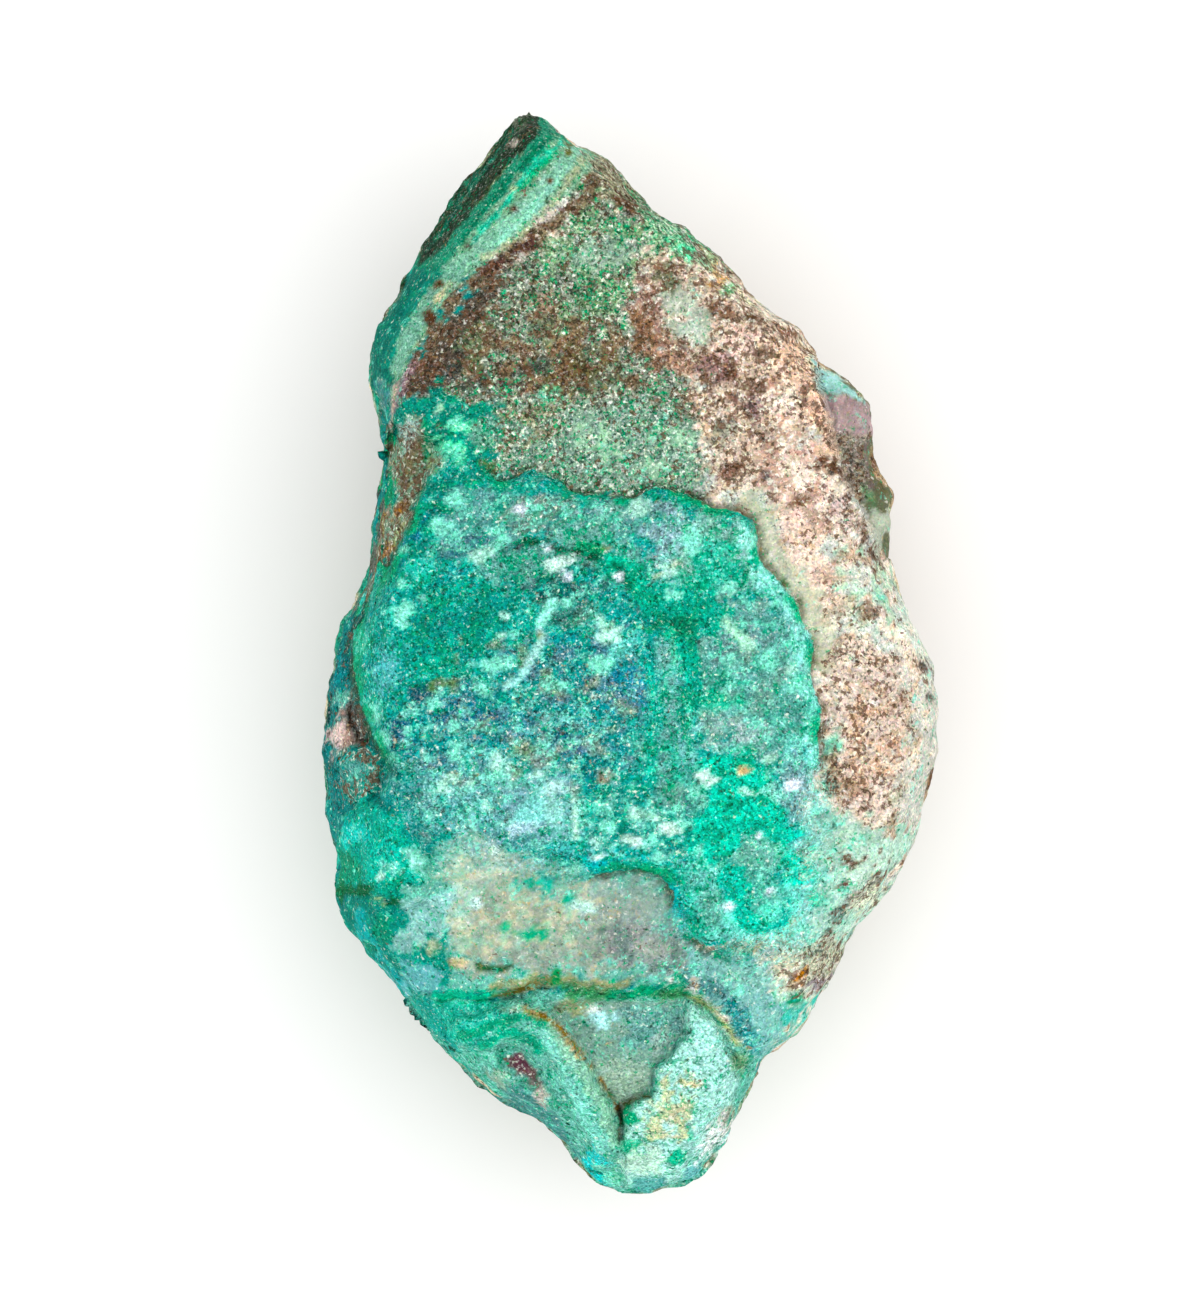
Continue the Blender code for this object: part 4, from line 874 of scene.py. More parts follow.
    stripe(((-0.9, -17.7), (0.5, -17.6), (1.6, -17.1), (2.4, -16.8), (2.9, -17.4)), 0.45, (50, 162, 122),
        "clean", 0.8, wander=0.4),
    patch(((-6.4, -20.8), (-5.6, -20.6), (-4.9, -21.5), (-4.9, -22), (-5.8, -21.8), (-6.3, -21.3)),
        (92, 62, 72), "cream", 1, 0.15, 0.12),
    spot(-5, -22, 1.3, 0.7, -55, (112, 94, 92), None, 0.85),
    spot(-4.4, -22.9, 1, 0.8, -55, (180, 168, 160), None, 0.85, wander=0.3),
    spot(-6.7, -21.9, 1.4, 0.9, -40, (156, 186, 168), None, 0.8, wander=0.4),
)

# the crust and what shows within it
crustMarks = (
    allOver((60, 154, 148), "crust"),
    allOver((96, 182, 164), None, 0.5, patchy=(2.6, 0.35), seed=2),
    patch(((-9.8, 9), (-5.7, 8.7), (0.5, 7.9), (1.8, 5.9), (-1.5, 5.4), (-4.6, 6.3), (-7.7, 4.8),
        (-10.6, 4.8)), (98, 144, 140), "mint", 0.85, 1, 0.9),
    spot(-4.9, 7.2, 3.4, 1.8, 10, (108, 120, 106), None, 0.7, 0.8, 0.8),
    spot(-1.5, 6.9, 2.2, 1.4, 10, (144, 180, 172), None, 0.7, 0.8, 0.8),
    stripe(((-9.5, 8.3), (-10.4, 6.9), (-11.1, 5.4), (-11.9, 4.1)), 1.1, (4, 108, 100), "deep", 0.8, 0.5,
        0.6),
    spot(-7.8, 5.6, 3, 1.6, 20, (62, 100, 116), "mint", 0.8, 0.7, 0.8),
    patch(((-12.3, 2.8), (-10.3, 4.2), (-6.7, 4.1), (-5.5, 2.8), (-6.4, 0.1), (-9.3, -2.4), (-11.8, -2.6),
        (-12.9, 0.2)), (4, 136, 126), "deep", 0.85, 1, 0.9),
    stripe(((-6.7, 4.5), (-4.1, 5), (-2, 5.6), (-0.4, 4.8), (1.2, 3.3), (2.7, 1.8), (3.3, 0.4)), 2.2,
        (114, 164, 154), "deep", 0.85, 1, 0.9),
    spot(-3.3, 3.3, 3.4, 2, 10, (4, 60, 60), "slaty", 0.7, 1, 0.8),
    patch(((0.8, 7.9), (3.6, 7.3), (6.3, 6.6), (6.5, 3.8), (4.8, 2.1), (3.1, 2.8), (1.1, 4.8)),
        (156, 200, 188), "deep", 0.85, 0.8, 0.8),
    spot(1.7, 6.2, 3.4, 1.8, -80, (140, 176, 184), "slaty", 0.8, 0.6, 0.6),
    spot(2.2, 3.8, 1.6, 0.9, -70, (150, 216, 200), None, 0.7, 0.4, 0.5),
    patch(((-10.3, -1.9), (-5.7, 0.7), (-1.5, 1.2), (1.2, 0.2), (1.4, -3.4), (-1.5, -6.7), (-6.7, -6.1),
        (-10.8, -6), (-11.7, -3.6)), (52, 136, 138), "slaty", 0.85, 1.2, 1.2),
    spot(-0.2, -1.5, 3.8, 2, -70, (80, 140, 164), "slaty", 0.8, 0.8, 0.8),
    spot(-8.5, -3, 3.4, 2, -15, (50, 98, 124), "slaty", 0.8, 0.8, 0.8),
    spot(-3.6, -4.6, 2.6, 1.7, 0, (38, 76, 108), None, 0.8, 0.6, 0.7),
    spot(-11.8, -4.2, 3.2, 1.4, 70, (42, 72, 100), "slaty", 0.8, 0.6, 0.7),
    spot(-4.4, -1.9, 3.6, 2, 30, (76, 150, 140), None, 0.6, 1, 1),
    patch(((3.6, 2.8), (7.2, 3), (9.1, 0.7), (9.5, -4.7), (7.8, -5.7), (3.6, -5.1), (3, -1.4)),
        (108, 156, 148), "mint", 0.8, 0.9, 0.8),
    spot(5.6, 0.2, 3, 2.2, 60, (106, 132, 134), None, 0.7, 0.8, 0.9),
    spot(4.8, -2.4, 2, 0.9, 10, (96, 198, 166), "deep", 0.8, 0.5, 0.6),
    spot(5.6, -4.2, 3, 2, 0, (158, 178, 178), None, 0.7, 0.8, 0.8),
    stripe(((6.3, 5.9), (7.4, 3.5), (8.8, 2.1), (9.2, -0.3), (9.5, -3.4), (9.5, -7), (9.6, -10.1)), 1.1,
        (180, 250, 240), "mint", 0.85, 0.6, 0.6),
    stripe(((2.1, 0.7), (2.6, -1.9), (2.8, -4.5), (3.1, -7.6)), 1.3, (148, 202, 206), "deep", 0.75, 0.6,
        0.7),
    patch(((3.4, -5.8), (5.7, -5.2), (7.9, -6.3), (8.6, -8.6), (8.1, -11.3), (5.7, -10.8), (3.6, -11.4),
        (3, -8.6)), (150, 222, 202), "deep", 0.9, 0.7, 0.8),
    spot(6.6, -9.9, 2.4, 1.9, 0, (136, 194, 188), None, 0.8, 0.7, 0.7),
    stripe(((8.5, -5.5), (9, -7.6), (9.1, -11.2), (8.6, -14.5)), 1.6, (154, 228, 222), "mint", 0.75, 0.8,
        0.7),
    spot(8.6, -7, 3.2, 1.2, 85, (116, 154, 168), "slaty", 0.7, 0.5, 0.5),
    patch(((-12.7, -5.3), (-10.3, -5.9), (-9.5, -8.6), (-10.6, -10.7), (-12.3, -9.2)), (128, 178, 178),
        "slaty", 0.85, 0.8, 0.7),
    patch(((-8.4, -5.8), (-3.6, -5.9), (-2.3, -9.1), (-3.6, -10.8), (-7.7, -10.8), (-9.5, -8.6)),
        (128, 168, 174), "mint", 0.85, 1, 1),
    patch(((-2.6, -6.5), (2.6, -6.8), (3.1, -10.1), (1.1, -11.1), (-2, -10.8)), (58, 138, 126), "mint", 0.8,
        0.9, 0.9),
    spot(2.8, -6.7, 1.9, 2, 0, (54, 130, 110), None, 0.7, 0.5, 0.6),
    patch(((2, -10.8), (4.7, -11.1), (5.6, -14.8), (3.6, -15.4), (2.6, -13.8)), (132, 204, 192), "deep",
        0.85, 0.6, 0.6),
    spot(-9.7, -1.4, 1.3, 0.8, 20, (122, 140, 88), None, 0.8, wander=0.5),
    spot(-4.7, -5.3, 2, 1.4, 0, (144, 152, 130), None, 0.7, wander=0.7),
    spot(-1.3, -6.5, 0.8, 0.5, 0, (164, 132, 88), None, 0.7),
    spot(5.9, -6, 0.4, 0.35, 30, (206, 164, 104), None, 0.9),

    spot(4.3, 4.4, 2.6, 2.8, 0, (82, 182, 160), "deep", 0.85, 0.8, 0.8),
    patch(((1.1, 3.3), (3.6, 3), (5.2, 2.1), (3.6, 0.7), (2.6, -0.1), (1.6, 0.7)), (8, 174, 142), "deep",
        0.85, 0.7, 0.7),
    stripe(((1.8, 0.2), (2, -2.4), (1.8, -5), (1.9, -7.6)), 0.9, (114, 162, 156), "deep", 0.8, 0.5, 0.6),
    patch(((-10, -6.1), (-6.7, -6), (-6.4, -7.6), (-6.7, -9.1), (-9.3, -9.4)), (106, 170, 168), "slaty",
        0.8, 0.8, 0.8),
    stripe(((-3.8, -10.1), (-2, -10.6), (0.5, -10.6), (1.8, -11)), 1, (66, 174, 174), "deep", 0.85, 0.5,
        0.6),
    patch(((-13.3, -9.4), (-11.8, -9), (-10.6, -10.4), (-10, -11.9), (-10.6, -13), (-12.4, -13.3),
        (-13.3, -11.7)), (14, 152, 116), "deep", 1, 0.6, 0.4),
    spot(-10.9, -10.9, 1.3, 0.6, -70, (172, 236, 216), "clean"),

    # patches of the neighbouring colours
    allOver((4, 146, 112), None, 0.45, patchy=(0.9, 0.18), seed=1),
    allOver((112, 206, 184), None, 0.4, patchy=(0.8, 0.14), seed=2),
    patch(((-10.3, -1.4), (-5.7, 1.2), (-1.5, 1.7), (1.1, 0.2), (1.4, -4.5), (-1.5, -7.6), (-6.7, -7),
        (-11.3, -7.6), (-12.1, -3.6)), (96, 122, 142), None, 0.6, 1, patchy=(1, 0.22), seed=3),
    patch(((-9.8, 0.2), (-3.6, 2.8), (0.5, 0.7), (1.1, -4.5), (-3.6, -7.6), (-9.8, -7)), (142, 154, 120),
        None, 0.55, 1, patchy=(1.2, 0.1), seed=4),
    patch(((-12.4, 0.7), (-5.7, -2.4), (0.5, -3.4), (2.6, -7.6), (2.6, -10.7), (-3.6, -10.7), (-9.8, -9.1),
        (-12.9, -5.5)), (150, 222, 206), None, 0.6, 1, patchy=(0.7, 0.2), seed=5),
    patch(((3.6, 2.8), (7.2, 3), (9.1, 0.7), (9.5, -4.7), (7.8, -5.7), (3.6, -5.1), (3, -1.4)),
        (120, 150, 140), None, 0.5, 0.6, patchy=(1.2, 0.16), seed=6),

    # emerald zone on the right, with a grey disc under it
    patch(((3.6, -5.5), (4.9, -5.1), (6.8, -5.7), (7.2, -7.6), (8.1, -7.9), (8.9, -9.4), (8.4, -9.9),
        (7, -9.7), (6.1, -8.8), (5.6, -10.1), (4.3, -10.8), (3.1, -10.1), (3.5, -8.1), (4.3, -7.6)),
        (24, 208, 176), "deep", 0.85, 0.3, 0.4),
    spot(6.6, -10.6, 2.4, 2, 20, (110, 166, 152), "mint", 0.85, 0.3, 0.4),
    patch(((2.4, -7), (3.3, -6.8), (3.9, -7.6), (3.8, -8.3), (3.1, -8.7), (2.4, -8.2)), (74, 128, 122),
        "mint", 0.8, 0.3, 0.4),
    patch(((7.2, -5.9), (8.3, -5.4), (8.9, -6), (9.1, -8.6), (8.3, -9.4), (7.9, -7.6)), (124, 168, 170),
        "slaty", 0.8, 0.3, 0.5),

    # dark step, holes, dark green veins and a painted shadow along the crust's lower left edge
    patch(((-2.8, 5.7), (-2, 5.9), (-1.1, 5.6), (-1.2, 5.2), (-2, 5), (-2.8, 5.2)), (4, 144, 94), None, 1,
        0.15, 0.2),
    stripe(((-5.6, 5.7), (-5.1, 5.8), (-4.6, 5.9)), 0.34, (4, 70, 46), wander=0.1),
    stripe(((-4.3, 5.8), (-3.9, 5.6), (-3.5, 5.3)), 0.34, (4, 56, 38), wander=0.1),
    stripe(((-2.9, 5.3), (-2.3, 5.2), (-1.7, 5)), 0.4, (4, 60, 38), wander=0.1),
    spot(-5.8, 5.5, 0.48, 0.4, 0, (4, 34, 26)),
    stripe(((-0.9, 4.8), (-0.2, 4.3), (0.4, 3.7), (0.7, 2.9), (1.2, 2.3)), 1, (24, 194, 156), "deep", 0.9,
        0.25, 0.3),
    stripe(((-0.9, 4.7), (-0.6, 4.4), (0, 3.5)), 0.36, (4, 74, 48), None, 0.85, wander=0.15),
    patch(((0.8, 3.5), (2.2, 3.7), (3.8, 3.4), (4.6, 2.5), (3.7, 1.7), (2, 1.8), (1.1, 2.2)), (8, 158, 134),
        "deep", 0.85, 0.4, 0.5),
    patch(((0.9, 1.8), (2.2, 1.9), (3.7, 2.1), (3.7, 1.1), (2.7, 0.6), (2, 1.3), (1.1, 1.3)), (4, 110, 80),
        "deep", 0.85, 0.3, 0.4),
    patch(((2.5, 0.9), (3.5, 1), (3.7, -1.9), (3.3, -3.6), (2.8, -2.4)), (30, 166, 140), "deep", 0.85, 0.3,
        0.3),
    stripe(((2.8, -1.9), (2.7, -3.4), (3.1, -4.9)), 0.5, (18, 122, 96), None, 0.85),
    stripe(((0.8, -0.4), (1.1, -1.5), (1.2, -2.4), (1, -4.2), (1.1, -6.5)), 0.36, (80, 202, 172), "deep",
        0.65, 0.15, 0.3),
    stripe(((2.1, 1.2), (2.2, 0.2), (2.5, -0.7), (2.8, -1.6), (3.1, -2.5), (3.1, -5.5)), 0.32,
        (118, 218, 182), "deep", 0.65, 0.15, 0.3),
    # painted shadow: a dark line along the crust's lower left edge
    stripe(((-12.9, -4.8), (-12.5, -5.5), (-11.9, -6.4)), 0.3, (18, 88, 84)),
    spot(9.9, -8.4, 0.4, 0.35, 0, (24, 70, 54)),
    patch(((-3.6, -9.5), (-2.3, -9.7), (-2, -10.4), (-3.2, -10.6), (-4, -10.1)), (108, 192, 186), "deep",
        0.85, 0.2, 0.3),
    stripe(((-1.7, -10.9), (-0.5, -11.1), (0.5, -11.2), (1.5, -11.3), (2.1, -12.1), (2.5, -12.9),
        (2.8, -13.9)), 0.8, (40, 188, 198), None, 0.85),
    stripe(((-0.5, -11.1), (0.4, -11.2), (1.4, -11.2)), 0.36, (4, 84, 54), wander=0.15),
    spot(-1.8, -6.1, 2.2, 1.6, 60, (4, 122, 126), None, 0.8, 0.3, 0.4),
    spot(-4.2, 2.9, 2, 0.8, 5, (4, 64, 64), None, 0.8, 0.2, 0.3),
    spot(-10.7, -2, 1.4, 1, 0, (38, 82, 94), None, 0.8, 0.2, 0.3),
    stripe(((-10.9, 6.9), (-11.6, 5.8), (-12, 4.8)), 0.7, (12, 106, 136), None, 0.85, 0.2, 0.2),
    spot(-9.9, -0.7, 2.4, 1.2, 0, (28, 160, 136), None, 0.8, 0.3, 0.4),
    spot(-9.8, -1.6, 1.2, 0.6, 10, (108, 142, 92), None, 0.85, wander=0.3),

    # rosette low on the right: a teal ring round a mint disc, and a mint rim round both
    patch(((4.9, -11.3), (5.9, -11.1), (7.6, -11.6), (8.6, -12.2), (8.7, -13.9), (7.6, -15), (5.8, -14.9),
        (4.8, -13.8)), (104, 178, 162), "mint", 0.9, 0.3, 0.3),
    patch(((3.5, -12.3), (4.7, -12.2), (4.9, -13.9), (3.8, -14.1)), (102, 160, 146), "mint", 0.85, 0.3,
        0.3),
    stripe(((2.6, -11.7), (2.9, -12.7), (3.2, -13.8), (3.8, -14.7)), 0.9, (90, 178, 160), "deep", 0.85, 0.3,
        0.3),
    stripe(((5.3, -11.6), (5.5, -12.7), (5.9, -13.8), (6.6, -14.2)), 1.24, (64, 192, 168), "deep", 0.95,
        0.25, 0.25),
    stripe(((6.8, -14.6), (7.5, -14.3), (8.1, -13.8), (8.2, -13)), 0.64, (26, 180, 162), None, 0.9, 0.15,
        0.15),
    spot(7.2, -13.4, 1.44, 1, 20, (132, 230, 208), None, 1, 0.15, 0.1),
    stripe(((5, -13), (5.1, -13.8), (5.6, -14.4), (6.4, -14.8), (7.7, -14.7), (8.5, -13.9), (8.6, -12.7),
        (8.2, -11.9)), 0.52, (146, 234, 218), "clean", 0.9, 0.15, 0.2),
    stripe(((7.9, -9.9), (8.4, -10.7), (8.1, -11.9)), 0.4, (120, 236, 206), None, 0.85, wander=0.2),
    spot(8.9, -11, 1.4, 2, 0, (20, 226, 198), None, 0.8, 0.3, 0.4),
    spot(9.6, -12.6, 1, 0.8, 0, (40, 200, 160), None, 0.8, 0.2, 0.3),

    # slits and dots of other colours
    stripe(((1.5, 4.1), (2, 4.4), (2.6, 4.7)), 0.28, (206, 216, 186), "clean"),
    stripe(((5, 1.7), (5.6, 1), (6.2, 0.4)), 0.4, (176, 228, 204), "clean"),
    spot(-3.1, 1.9, 2.2, 1.2, 0, (70, 108, 104), None, 0.75, 0.3, 0.4),
    spot(5.9, -6, 0.5, 0.6, 0, (222, 190, 150), "clean"),
    spot(-1.4, -6.4, 0.8, 0.56, 20, (146, 130, 106), None, 0.8),
    spot(-1.2, 5.5, 0.6, 0.3, -40, (130, 130, 100)),
    spot(2.3, -7.3, 1, 1.6, 0, (114, 158, 146), None, 0.8, wander=0.4),

    # mint areas and pale flecks
    spot(-10.8, 4.3, 1.8, 1.4, 10, (94, 190, 174), None, 0.85, 0.2, 0.3),
    spot(-12.4, 0.2, 2, 1.6, 0, (86, 164, 154), None, 0.8, 0.3, 0.4),
    spot(-12.5, -1, 1.6, 2.2, 0, (108, 180, 182), None, 0.8, 0.3, 0.4),
    spot(-13.9, 0.5, 0.7, 1.6, 5, (116, 212, 184), None, 0.85, wander=0.2),
    spot(-0.2, 0.4, 2, 1.2, 30, (112, 192, 182), None, 0.85, 0.2, 0.3),
    spot(-5, -8.2, 1.8, 1.6, 20, (142, 210, 204), "clean", 0.9, 0.2, 0.3),
    spot(-4, -8.2, 0.8, 1.7, 5, (172, 232, 222), "clean", 0.9, 0.15, 0.2),
    spot(-5.4, -9.1, 1.6, 0.8, 10, (192, 228, 236), "clean", 0.85, 0.2, 0.3),
    spot(-4, -6.9, 1.4, 0.68, -8, (188, 234, 228), "clean", wander=0.2),
    stripe(((-4.7, 1.3), (-4.6, 0.6), (-4.9, 0.1), (-5.4, -0.9)), 0.42, (168, 216, 210), "clean", 1, 0.12,
        0.1),
    stripe(((-5.4, -0.9), (-5.9, -1.4), (-6.3, -1.7)), 0.4, (170, 230, 222), "clean", 1, 0.12, 0.1),
    stripe(((-4.7, 1.3), (-4.7, 0.9)), 0.2, (140, 150, 104), "clean"),
    stripe(((-4, 2.6), (-4.3, 2.1), (-4.6, 1.6)), 0.54, (164, 236, 218), "clean", 1, 0.12, 0.1),
    stripe(((-2.9, -7), (-2.9, -8.2), (-2.8, -9.5)), 0.26, (186, 228, 212), "clean", wander=0.1),
    stripe(((-1.8, -9.7), (-1.7, -10.1)), 0.26, (176, 226, 214), "clean"),
    stripe(((0.7, -9.9), (1.3, -9.5)), 0.3, (150, 234, 212), "clean"),
    *flecks((208, 240, 230), (-3.6, 4.7, 1.4, 0.54, 22), (0.1, -9.6, 1.1, 0.52, -20),
        (2.1, -9, 1, 0.68, -10), (4, -6.4, 1.1, 0.72, -15), (-1.7, -10.5, 0.9, 0.32, 8),
        (-7, -10.3, 0.36, 1, 8)),
    *flecks((230, 240, 250), (-3.2, 4.1, 0.56, 0.52, 0), (8.4, -6.8, 0.68, 0.56, -20),
        (-5.7, 7.5, 0.56, 0.44, 0), (7.2, -12.3, 0.36, 0.4, 0), (1.6, -11.2, 0.32, 0.52, 0),
        (-0.6, 4, 0.4, 0.32, 0), (-4.3, 5.5, 0.4, 0.28, 0), (5.1, -13.1, 0.4, 0.4, 0),
        (6.7, -9.4, 0.4, 0.36, -40)),
    *flecks((182, 232, 216), (-7.7, 5.2, 1.2, 0.68, 35), (2, 4.2, 1, 0.8, 10), (-1.5, 1.4, 0.64, 1.2, 0),
        (-0.9, 0.9, 1, 0.84, 20), (0.4, 7.5, 1.1, 0.84, 15), (-6.8, -5.7, 0.8, 0.84, 0),
        (-6.3, -5.8, 0.32, 0.6, 10), (-9.2, -6.5, 0.72, 0.4, -20), (-9.6, -6.9, 0.68, 0.52, 0),
        (-8.2, -6.7, 0.48, 0.36, 0), (-4.8, -6.2, 0.52, 0.48, 0), (0.5, -8.3, 1.5, 0.56, -15),
        (7.2, -5.4, 0.6, 0.64, 0), (6.3, -7.2, 0.6, 0.4, -20), (5.9, -7.1, 0.4, 0.52, 0),
        (-6.4, 1.9, 0.6, 0.36, -40), (-6.5, 1, 0.48, 0.36, 0), (8.4, -0.9, 0.6, 0.44, 0),
        (-7.4, -7.9, 0.36, 0.56, 0), (1.3, -8.5, 0.6, 0.4, 0)),
    *flecks((146, 222, 202), (-9.1, 8.1, 0.9, 0.8, 20), (-8.7, 7.7, 0.52, 0.6, 0),
        (-9.9, 6.5, 0.92, 0.96, 0), (-11.7, 5.3, 0.8, 0.6, 30), (-11.7, 3.7, 0.6, 0.56, 0),
        (-11.7, 2.1, 1.1, 1, 0), (-11.7, 1.5, 0.52, 0.52, 0), (-10.7, 2.9, 0.52, 0.32, 0),
        (-6.9, 6.4, 1, 0.56, 20), (-6.7, 5.8, 0.8, 0.56, 40), (2.2, 3.1, 0.9, 0.68, 20),
        (-6, 1, 0.6, 0.6, 0), (-7, -0.6, 1.8, 0.68, 5), (-6.4, -0.5, 0.8, 0.6, 0),
        (-4.2, -1.6, 0.72, 0.48, 0), (-3.6, -1.6, 0.68, 0.52, 0), (-1.5, -0.5, 1.4, 0.8, 20),
        (-7.6, -1.8, 0.84, 0.68, 0), (-10.1, -2.6, 0.68, 0.6, 0), (-9.1, -3.7, 0.64, 0.56, 0),
        (-8.9, -5, 0.8, 1, 0), (-12.8, -4.4, 0.72, 0.68, 0), (-13.3, -3.1, 0.72, 1, 0),
        (-12.2, -5.4, 0.8, 0.6, 0), (-7, -6.3, 0.88, 0.4, 0), (-8.3, -7, 0.6, 0.4, 0),
        (-1.1, -9, 0.8, 0.72, 0), (2.8, -8.8, 0.72, 0.48, -10), (1.5, -10.6, 0.9, 0.68, 0),
        (0.2, -10.6, 0.6, 0.4, 0), (3.6, -10.1, 0.4, 0.84, 0), (-2.9, -11.1, 1, 0.48, 10),
        (3.3, -7.2, 0.72, 0.52, -30), (6.9, -7.1, 0.52, 0.4, 0), (8.5, -1.4, 1.1, 1, 0),
        (7.2, -0.4, 1.2, 1, 30), (5.2, -0.3, 0.6, 0.56, 0), (5, 3.3, 1, 0.6, 30),
        (-3.3, 2.6, 0.72, 0.52, 0), (-10.9, -10.9, 1.2, 0.52, -70), (3.2, 5.9, 0.8, 1.4, 0)),
)


# building the surface

def seenFromAbove(s, points):
    # plan places as the eye sees them: the offset from the axis grows with height, reach over
    # reach less height
    axis = np.array(s["axis"])
    nearer = s["reach"] / (s["reach"] - (points[:, 2] - s["rimHeightSeen"]))
    return axis + (points[:, :2] - axis) * nearer[:, None]


def withSeen(s, points):
    # seen plan places with the true height
    return np.column_stack((seenFromAbove(s, points), points[:, 2]))


# how far the crust stands proud in mm: all over, more at its lip, more in its middle, and in waves
crustRise = {"all": 0.35, "lip": 0.25, "middle": 0.3, "waves": 0.3}


def raiseMarks(s, grid):
    # lifts the crust and the relief marks, fading out at the silhouette
    points = grid.reshape(-1, 3).copy()
    places = withSeen(s, points)
    x, y = places[:, 0], places[:, 1]
    rim = rimHeight(s, points[:, 0], points[:, 1])
    standing = points[:, 2] - rim
    stray = clouds(places, 0.9, 41, 4)
    crumbs = clouds(places, 0.4, 42, 2)
    for mark in reliefMarks:
        mask = markMask(mark, places, stray, 0.15 * crumbs)
        if "squash" in mark:
            standing = np.where(standing > 0.0, standing * (1.0 - mark["squash"] * mask), standing)
        else:
            standing += mark["lift"] * mask * fade(standing, 0.1, 1.1)
    cover, depth, crisp, edge = crustCover(x, y, stray)
    bulge = crustRise["all"] + crustRise["lip"] * crisp + crustRise["middle"] * fade(depth, 0.0, 0.8)
    bulge += crustRise["waves"] * clouds(places, 4.5, 52, 2) * fade(depth, 0.3, 2.0)
    standing += cover * bulge * fade(standing, 0.1, 1.1)
    points[:, 2] = np.maximum(rim + standing, 0.0)
    return points.reshape(grid.shape), cover.reshape(grid.shape[:2])


# layers of roughness, each its size across and its height in mm
roughLayers = {
    "swell": (4.0, 0.28),
    "lump": (1.3, 0.16),
    "bump": (0.62, 0.08),
    "grit": (0.34, 0.06),
    "upperFacet": (1.5, 0.16),
    "flankFacets": ((5.2, 0.55), (2.1, 0.28), (0.9, 0.1)),
}


def roughen(r, s, grid, cover):
    # moves every point along its normal by layered noise, and breaks the flanks into facets
    (swell, swellHigh), (lump, lumpHigh), (bump, bumpHigh) = r["swell"], r["lump"], r["bump"]
    (grit, gritHigh), (facet, facetHigh) = r["grit"], r["upperFacet"]
    normal = outward(grid).reshape(-1, 3)
    points = grid.reshape(-1, 3)
    rim = rimHeight(s, points[:, 0], points[:, 1])
    upper = fade(points[:, 2] - rim, -1.5, 0.6)
    cover = cover.reshape(-1)
    coarse = 1.0 - 0.45 * cover
    shift = swellHigh * clouds(points, swell, 61, 2) * (0.5 + 0.5 * coarse)
    shift += lumpHigh * cloud(points, lump, 62) * coarse
    shift += bumpHigh * cloud(points, bump, 63) * (0.6 + 0.4 * coarse)
    shift += gritHigh * cloud(points, grit, 64)
    facets = sum(high * splits(points, size, 71 + k) for k, (size, high) in enumerate(r["flankFacets"]))
    shift += (1.0 - upper) * (facets - 0.1)
    shift += upper * coarse * facetHigh * splits(points, facet, 74)
    resting = (points[:, 2] < 0.03) & (normal[:, 2] < -0.5)
    shift = np.where(resting, 0.25 * shift, shift)
    return (points + shift[:, None] * normal).reshape(grid.shape)


def fitBox(points):
    # stretches the finished surface to the solid it stands for
    low, high = points.min(axis=0), points.max(axis=0)
    return stoneLow + (points - low) * (stoneHigh - stoneLow) / (high - low)


def toLight(colour):
    # 0-255 display colour to linear light
    share = np.array(colour, float) / 255.0
    return np.where(share <= 0.04045, share / 12.92, ((share + 0.055) / 1.055) ** 2.4)


